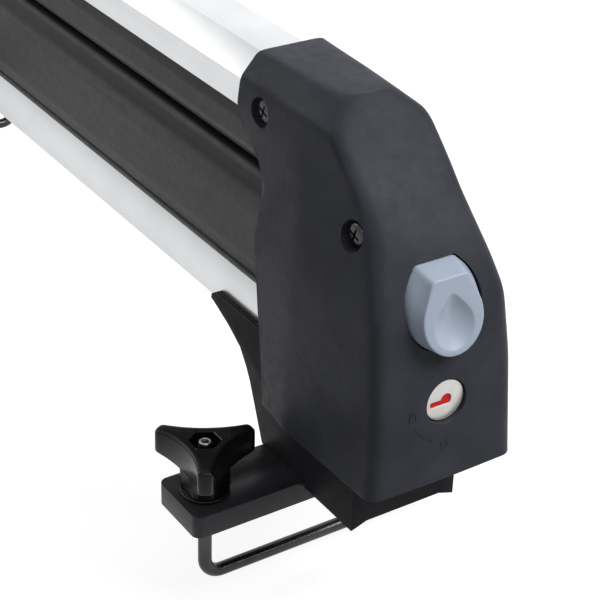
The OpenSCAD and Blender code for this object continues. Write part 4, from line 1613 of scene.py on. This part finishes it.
@dataclass
class Studio:
    """Camera, lights, floor and world.

    Args:
        floor_z: height of the floor in metres.
    """

    floor_z: float

    LENS = 104.3
    PLACE = (0.5084, -0.3636, 0.44585)
    TURN = ((0.5455, -0.435, 0.7164), (0.8376, 0.2528, -0.4843), (0.0295, 0.8642, 0.5022))
    LIT = 0.14  # strength of the world as a light
    MIRRORED = 0.72  # strength of the world where it is mirrored
    FLOOR_HALF = 9000
    FLOOR_COLOUR = (0.34, 0.34, 0.343, 1)
    FLOOR_GLOW = 0.83  # what the floor gives off where it is seen
    AIM = (-0.05, 0, 0.1)
    # Name, place, sides in metres, power in watts
    LIGHTS = (
        ("key", (0.3, 0.35, 1.6), (1.1, 1.1), 9),
        ("front", (0.95, 0.9, 1.3), (0.9, 0.9), 23),
        ("edge", (0.8, -0.88, 1.2), (0.5, 0.5), 1.6),
        ("rear", (-1.3, -0.85, 0.95), (0.9, 0.7), 6.5),
        ("rim", (-1.2, 0.8, 0.9), (0.9, 0.7), 1.5),
    )

    def camera(self) -> None:
        """The photo's own view."""
        data = bpy.data.cameras.new("view")
        data.lens = self.LENS
        data.sensor_width = 36
        cam = bpy.data.objects.new("view", data)
        cam.matrix_world = Matrix.Translation(Vector(self.PLACE)) @ Matrix(self.TURN).to_4x4()
        bpy.context.scene.collection.objects.link(cam)
        bpy.context.scene.camera = cam

    def light(self, name: str, at: Point3, size: Point2, power: float) -> None:
        """An area light that looks at the carrier.

        Args:
            name: name of the light.
            at: its place.
            size: its two sides.
            power: in watts.
        """
        data = bpy.data.lights.new(name, "AREA")
        data.shape = "RECTANGLE"
        data.size, data.size_y = size
        data.energy = power
        lamp = bpy.data.objects.new(name, data)
        lamp.location = at
        lamp.rotation_mode = "QUATERNION"
        lamp.rotation_quaternion = (Vector(self.AIM) - Vector(at)).to_track_quat("-Z", "Y")
        bpy.context.scene.collection.objects.link(lamp)
        lamp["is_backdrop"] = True

    def floor(self) -> None:
        """A plain pale floor that keeps the shadow."""
        half, z = self.FLOOR_HALF, self.floor_z / MM
        corners = [(a * half, b * half, z) for a, b in ((-1, -1), (1, -1), (1, 1), (-1, 1))]
        obj = mesh_object("floor", corners, [(0, 1, 2, 3)])
        mat = bpy.data.materials.new("floor_pale")
        mat.use_nodes = True
        nodes, links = mat.node_tree.nodes, mat.node_tree.links
        bsdf = nodes["Principled BSDF"]
        bsdf.inputs["Base Color"].default_value = self.FLOOR_COLOUR
        bsdf.inputs["Roughness"].default_value = 0.9
        glow = nodes.new("ShaderNodeEmission")
        glow.inputs["Color"].default_value = (1, 1, 1, 1)
        glow.inputs["Strength"].default_value = self.FLOOR_GLOW
        add = nodes.new("ShaderNodeAddShader")
        path = nodes.new("ShaderNodeLightPath")
        pick = nodes.new("ShaderNodeMixShader")
        links.new(bsdf.outputs[0], add.inputs[0])
        links.new(glow.outputs[0], add.inputs[1])
        seen = self._seen(mat.node_tree, path)
        links.new(seen, pick.inputs[0])
        links.new(bsdf.outputs[0], pick.inputs[1])
        links.new(add.outputs[0], pick.inputs[2])
        links.new(pick.outputs[0], nodes["Material Output"].inputs["Surface"])
        obj.data.materials.append(mat)
        obj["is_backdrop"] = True

    @staticmethod
    def _seen(tree: bpy.types.NodeTree, path: bpy.types.Node) -> bpy.types.NodeSocket:
        """Share of camera, glossy and transmission rays, which see white but carry no light.

        Args:
            tree: node tree of the floor or the world.
            path: its light path node.

        Returns:
            The socket with the share.
        """
        total = path.outputs["Is Camera Ray"]
        for name in ("Is Glossy Ray", "Is Transmission Ray"):
            add = tree.nodes.new("ShaderNodeMath")
            add.operation = "ADD"
            add.use_clamp = True
            tree.links.new(total, add.inputs[0])
            tree.links.new(path.outputs[name], add.inputs[1])
            total = add.outputs[0]
        return total

    def world(self) -> None:
        """Soft white surroundings: bright where they are seen or mirrored, dimmer as a light."""
        world = bpy.data.worlds.new("studio")
        world.use_nodes = True
        tree = world.node_tree
        back = tree.nodes["Background"]
        back.inputs["Color"].default_value = (1.0, 1.0, 1.0, 1)
        level = tree.nodes.new("ShaderNodeMapRange")
        level.inputs[3].default_value = self.LIT
        level.inputs[4].default_value = self.MIRRORED
        path = tree.nodes.new("ShaderNodeLightPath")
        white = tree.nodes.new("ShaderNodeMath")
        white.operation = "MAXIMUM"
        tree.links.new(self._seen(tree, path), level.inputs[0])
        tree.links.new(level.outputs[0], white.inputs[0])
        tree.links.new(path.outputs["Is Camera Ray"], white.inputs[1])
        tree.links.new(white.outputs[0], back.inputs["Strength"])
        bpy.context.scene.world = world

    def build(self) -> None:
        """Sets everything up."""
        self.camera()
        self.floor()
        self.world()
        for name, at, size, power in self.LIGHTS:
            self.light(name, at, size, power)
        bpy.context.scene.view_settings.view_transform = "Standard"


class Carrier:
    """The whole carrier."""

    # CAD nodes with rounded edges: node, body, finish, slot, width of the rounding
    ROUNDED = (
        ("base_rail", "base", "rail", "rail_aluminium", 0.8),
        ("arm_rail", "arm", "rail", "rail_aluminium", 0.7),
        ("rail_plug", "base", "foot", "black_moulding", 0.4),
        ("lock_foot", "base", "foot", "black_moulding", 0.55),
        ("hinge_foot", "base", "foot", "black_moulding", 0.55),
        ("clamp_plate_lock", "base", "coated", "dark_steel", 0.8),
        ("clamp_plate_hinge", "base", "coated", "dark_steel", 0.8),
        ("hinge_tower", "base", "moulded", "black_moulding", 1.0),
        ("arm_end_cap", "arm", "moulded", "black_moulding", 0.9),
        ("washers_lock", "base", "rod", "dark_steel", 0.25),
        ("washers_hinge", "base", "rod", "dark_steel", 0.25),
        ("strike_bracket", "base", "steel", "bright_steel", 0.3),
        ("latch_carrier", "arm", "rod", "dark_steel", 0.4),
        ("latch_hook", "hook", "steel", "bright_steel", 0.4),
        ("hinge_pin", "base", "steel", "bright_steel", 0.4),
        ("lock_core", "lock_cylinder", "face", "lock_face", 0.15),
    )
    # CAD nodes that stay as they are, with their finish
    PAINTED = {
        "foot_bolts": "steel", "foot_nuts": "steel", "strike_pin": "steel", "strike_screws": "steel",
        "hinge_clips": "rod", "hinge_bushes": "steel", "latch_pivot": "steel", "latch_spring": "steel",
        # the lock sleeve takes the dark foot moulding as painted shade in the depth of the lock hole
        "lock_sleeve": "foot", "lock_retainer": "steel", "lock_cam": "steel", "cam_screw": "steel",
        "key_shutter": "red", "nut_lock_near": "steel", "nut_lock_far": "steel",
        "nut_hinge_near": "steel", "nut_hinge_far": "steel",
    }
    # Right halves of the cushions as (y, z, corner radius)
    LOWER = (
        (0, 73.7, 0), (15.1, 73.7, 0.3), (15.1, 76.3, 0.3), (13.1, 76.3, 0.2), (13.1, 78.7, 0.3),
        (15.2, 78.7, 1.0), (17.3, 87, 7), (18.4, 112, 12), (18.2, 121, 9), (13.5, 128.9, 7), (0, 130.3, 6)
    )
    UPPER = (
        (0, 162.8, 0), (15.1, 162.8, 0.3), (15.1, 160.2, 0.3), (13.1, 160.2, 0.2), (13.1, 157.8, 0.3),
        (16.6, 157.8, 1.0), (18.4, 150, 5), (18.2, 139, 8), (13.5, 132.3, 7), (0, 130.9, 6)
    )

    CUSHION_FAR = -503.9  # far end of both cushions
    # Node, body, and the sizes of a ScrewSet
    SCREWS = (
        ("housing_screws", "arm", (*CAP_SCREW, 23.2, 5.1, 1.25, 2.5, 7.6)),
        ("carrier_screws", "arm", (*CARRIER_SCREW, 24.9, 5.1, 2.25, 2.5, 14)),
        ("cap_screws", "arm", (-500, 163.6, 23.2, 5.1, 1.25, 2.5, 7.6)),
        ("tower_screws", "base", (-536, 63.5, 27.2, 4.5, 2.15, 2.5, 10)),
    )

    def __init__(self, shop: Workshop) -> None:
        """Takes the workshop.

        Args:
            shop: places the pieces.
        """
        self.shop = shop

    def build(self) -> None:
        """Makes every piece."""
        shop = self.shop
        for node, body, finish, slot, width in self.ROUNDED:
            shop.rounded(node, body, finish, slot, width)
        for node, finish in self.PAINTED.items():
            shop.paint(node, finish)
        self._arm_front()
        self._clamps()
        self._cushions()
        self._screws()

    def _arm_front(self) -> None:
        """Housing, button and the signs beside the lock."""
        housing, button = Housing(), Button()
        shop = self.shop
        shop.place(housing.build(button), "arm", "moulded", "black_moulding", ["lock_housing"], 50)
        shop.place(button.build(), "button", "button", "button_moulding", ["push_button"], 50)
        shop.place(LockSigns(housing).build(), "arm", "moulded", "black_moulding")

    def _clamps(self) -> None:
        """Both U-bolts with their knobs."""
        thread = thread_tool()
        for end, x in (("lock", 0.0), ("hinge", -SPAN)):
            rod_obj = UBolt(x).build(f"u_bolt_{end}_look", thread, self.shop.palette["rod"])
            self.shop.place(rod_obj, f"clamp_{end}", "rod", "dark_steel", [f"u_bolt_{end}"], 60)
            self.shop.place(UBolt(x).ends(f"u_bolt_{end}_ends"), f"clamp_{end}", "steel", "bright_steel")
            for side, y in (("near", -LEG), ("far", LEG)):
                number = {"lock": 1, "hinge": 3}[end] + (side == "far")
                node = f"knob_{end}_{side}"
                knob = Knob().build(node + "_look", x, y)
                self.shop.place(knob, f"knob_{number}", "gloss", "gloss_moulding", [node], 40)

    def _cushions(self) -> None:
        """Both rubber cushions."""
        far = self.CUSHION_FAR
        lower = Cushion("base_rubber_look", self.LOWER, far, 4.9, (82.5, 126.2)).build()
        upper = Cushion("arm_rubber_look", self.UPPER, far, -4.1, (134.8, 154.5)).build()
        for obj, body, node in ((lower, "base", "base_rubber"), (upper, "arm", "arm_rubber")):
            self.shop.place(obj, body, "rubber", "cushion_rubber", [node], 40)

    def _screws(self) -> None:
        """The pairs of screws that are set from the sides."""
        tool = scatter_tool()
        for node, body, sizes in self.SCREWS:
            # the dark zinc heads are partly the screws' own finish, partly painted shade deep in their
            # counterbores
            obj = ScrewSet(node + "_look", *sizes).build(tool, self.shop.palette["rod"])
            self.shop.place(obj, body, "rod", "dark_steel", [node], 45)


def main() -> None:
    """Builds the carrier and the studio."""
    logging.basicConfig(level=logging.INFO, format="%(name)s: %(message)s")
    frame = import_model()
    cad_low, cad_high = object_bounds()
    shop = Workshop(frame, Palette())
    Carrier(shop).build()
    Studio(cad_low.z - CLAMP_DROP).build()
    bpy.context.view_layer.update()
    LOG.info("%d pieces made, %d CAD nodes", len(shop.made), len(frame["nodes"]))


if __name__ == "__main__":
    main()
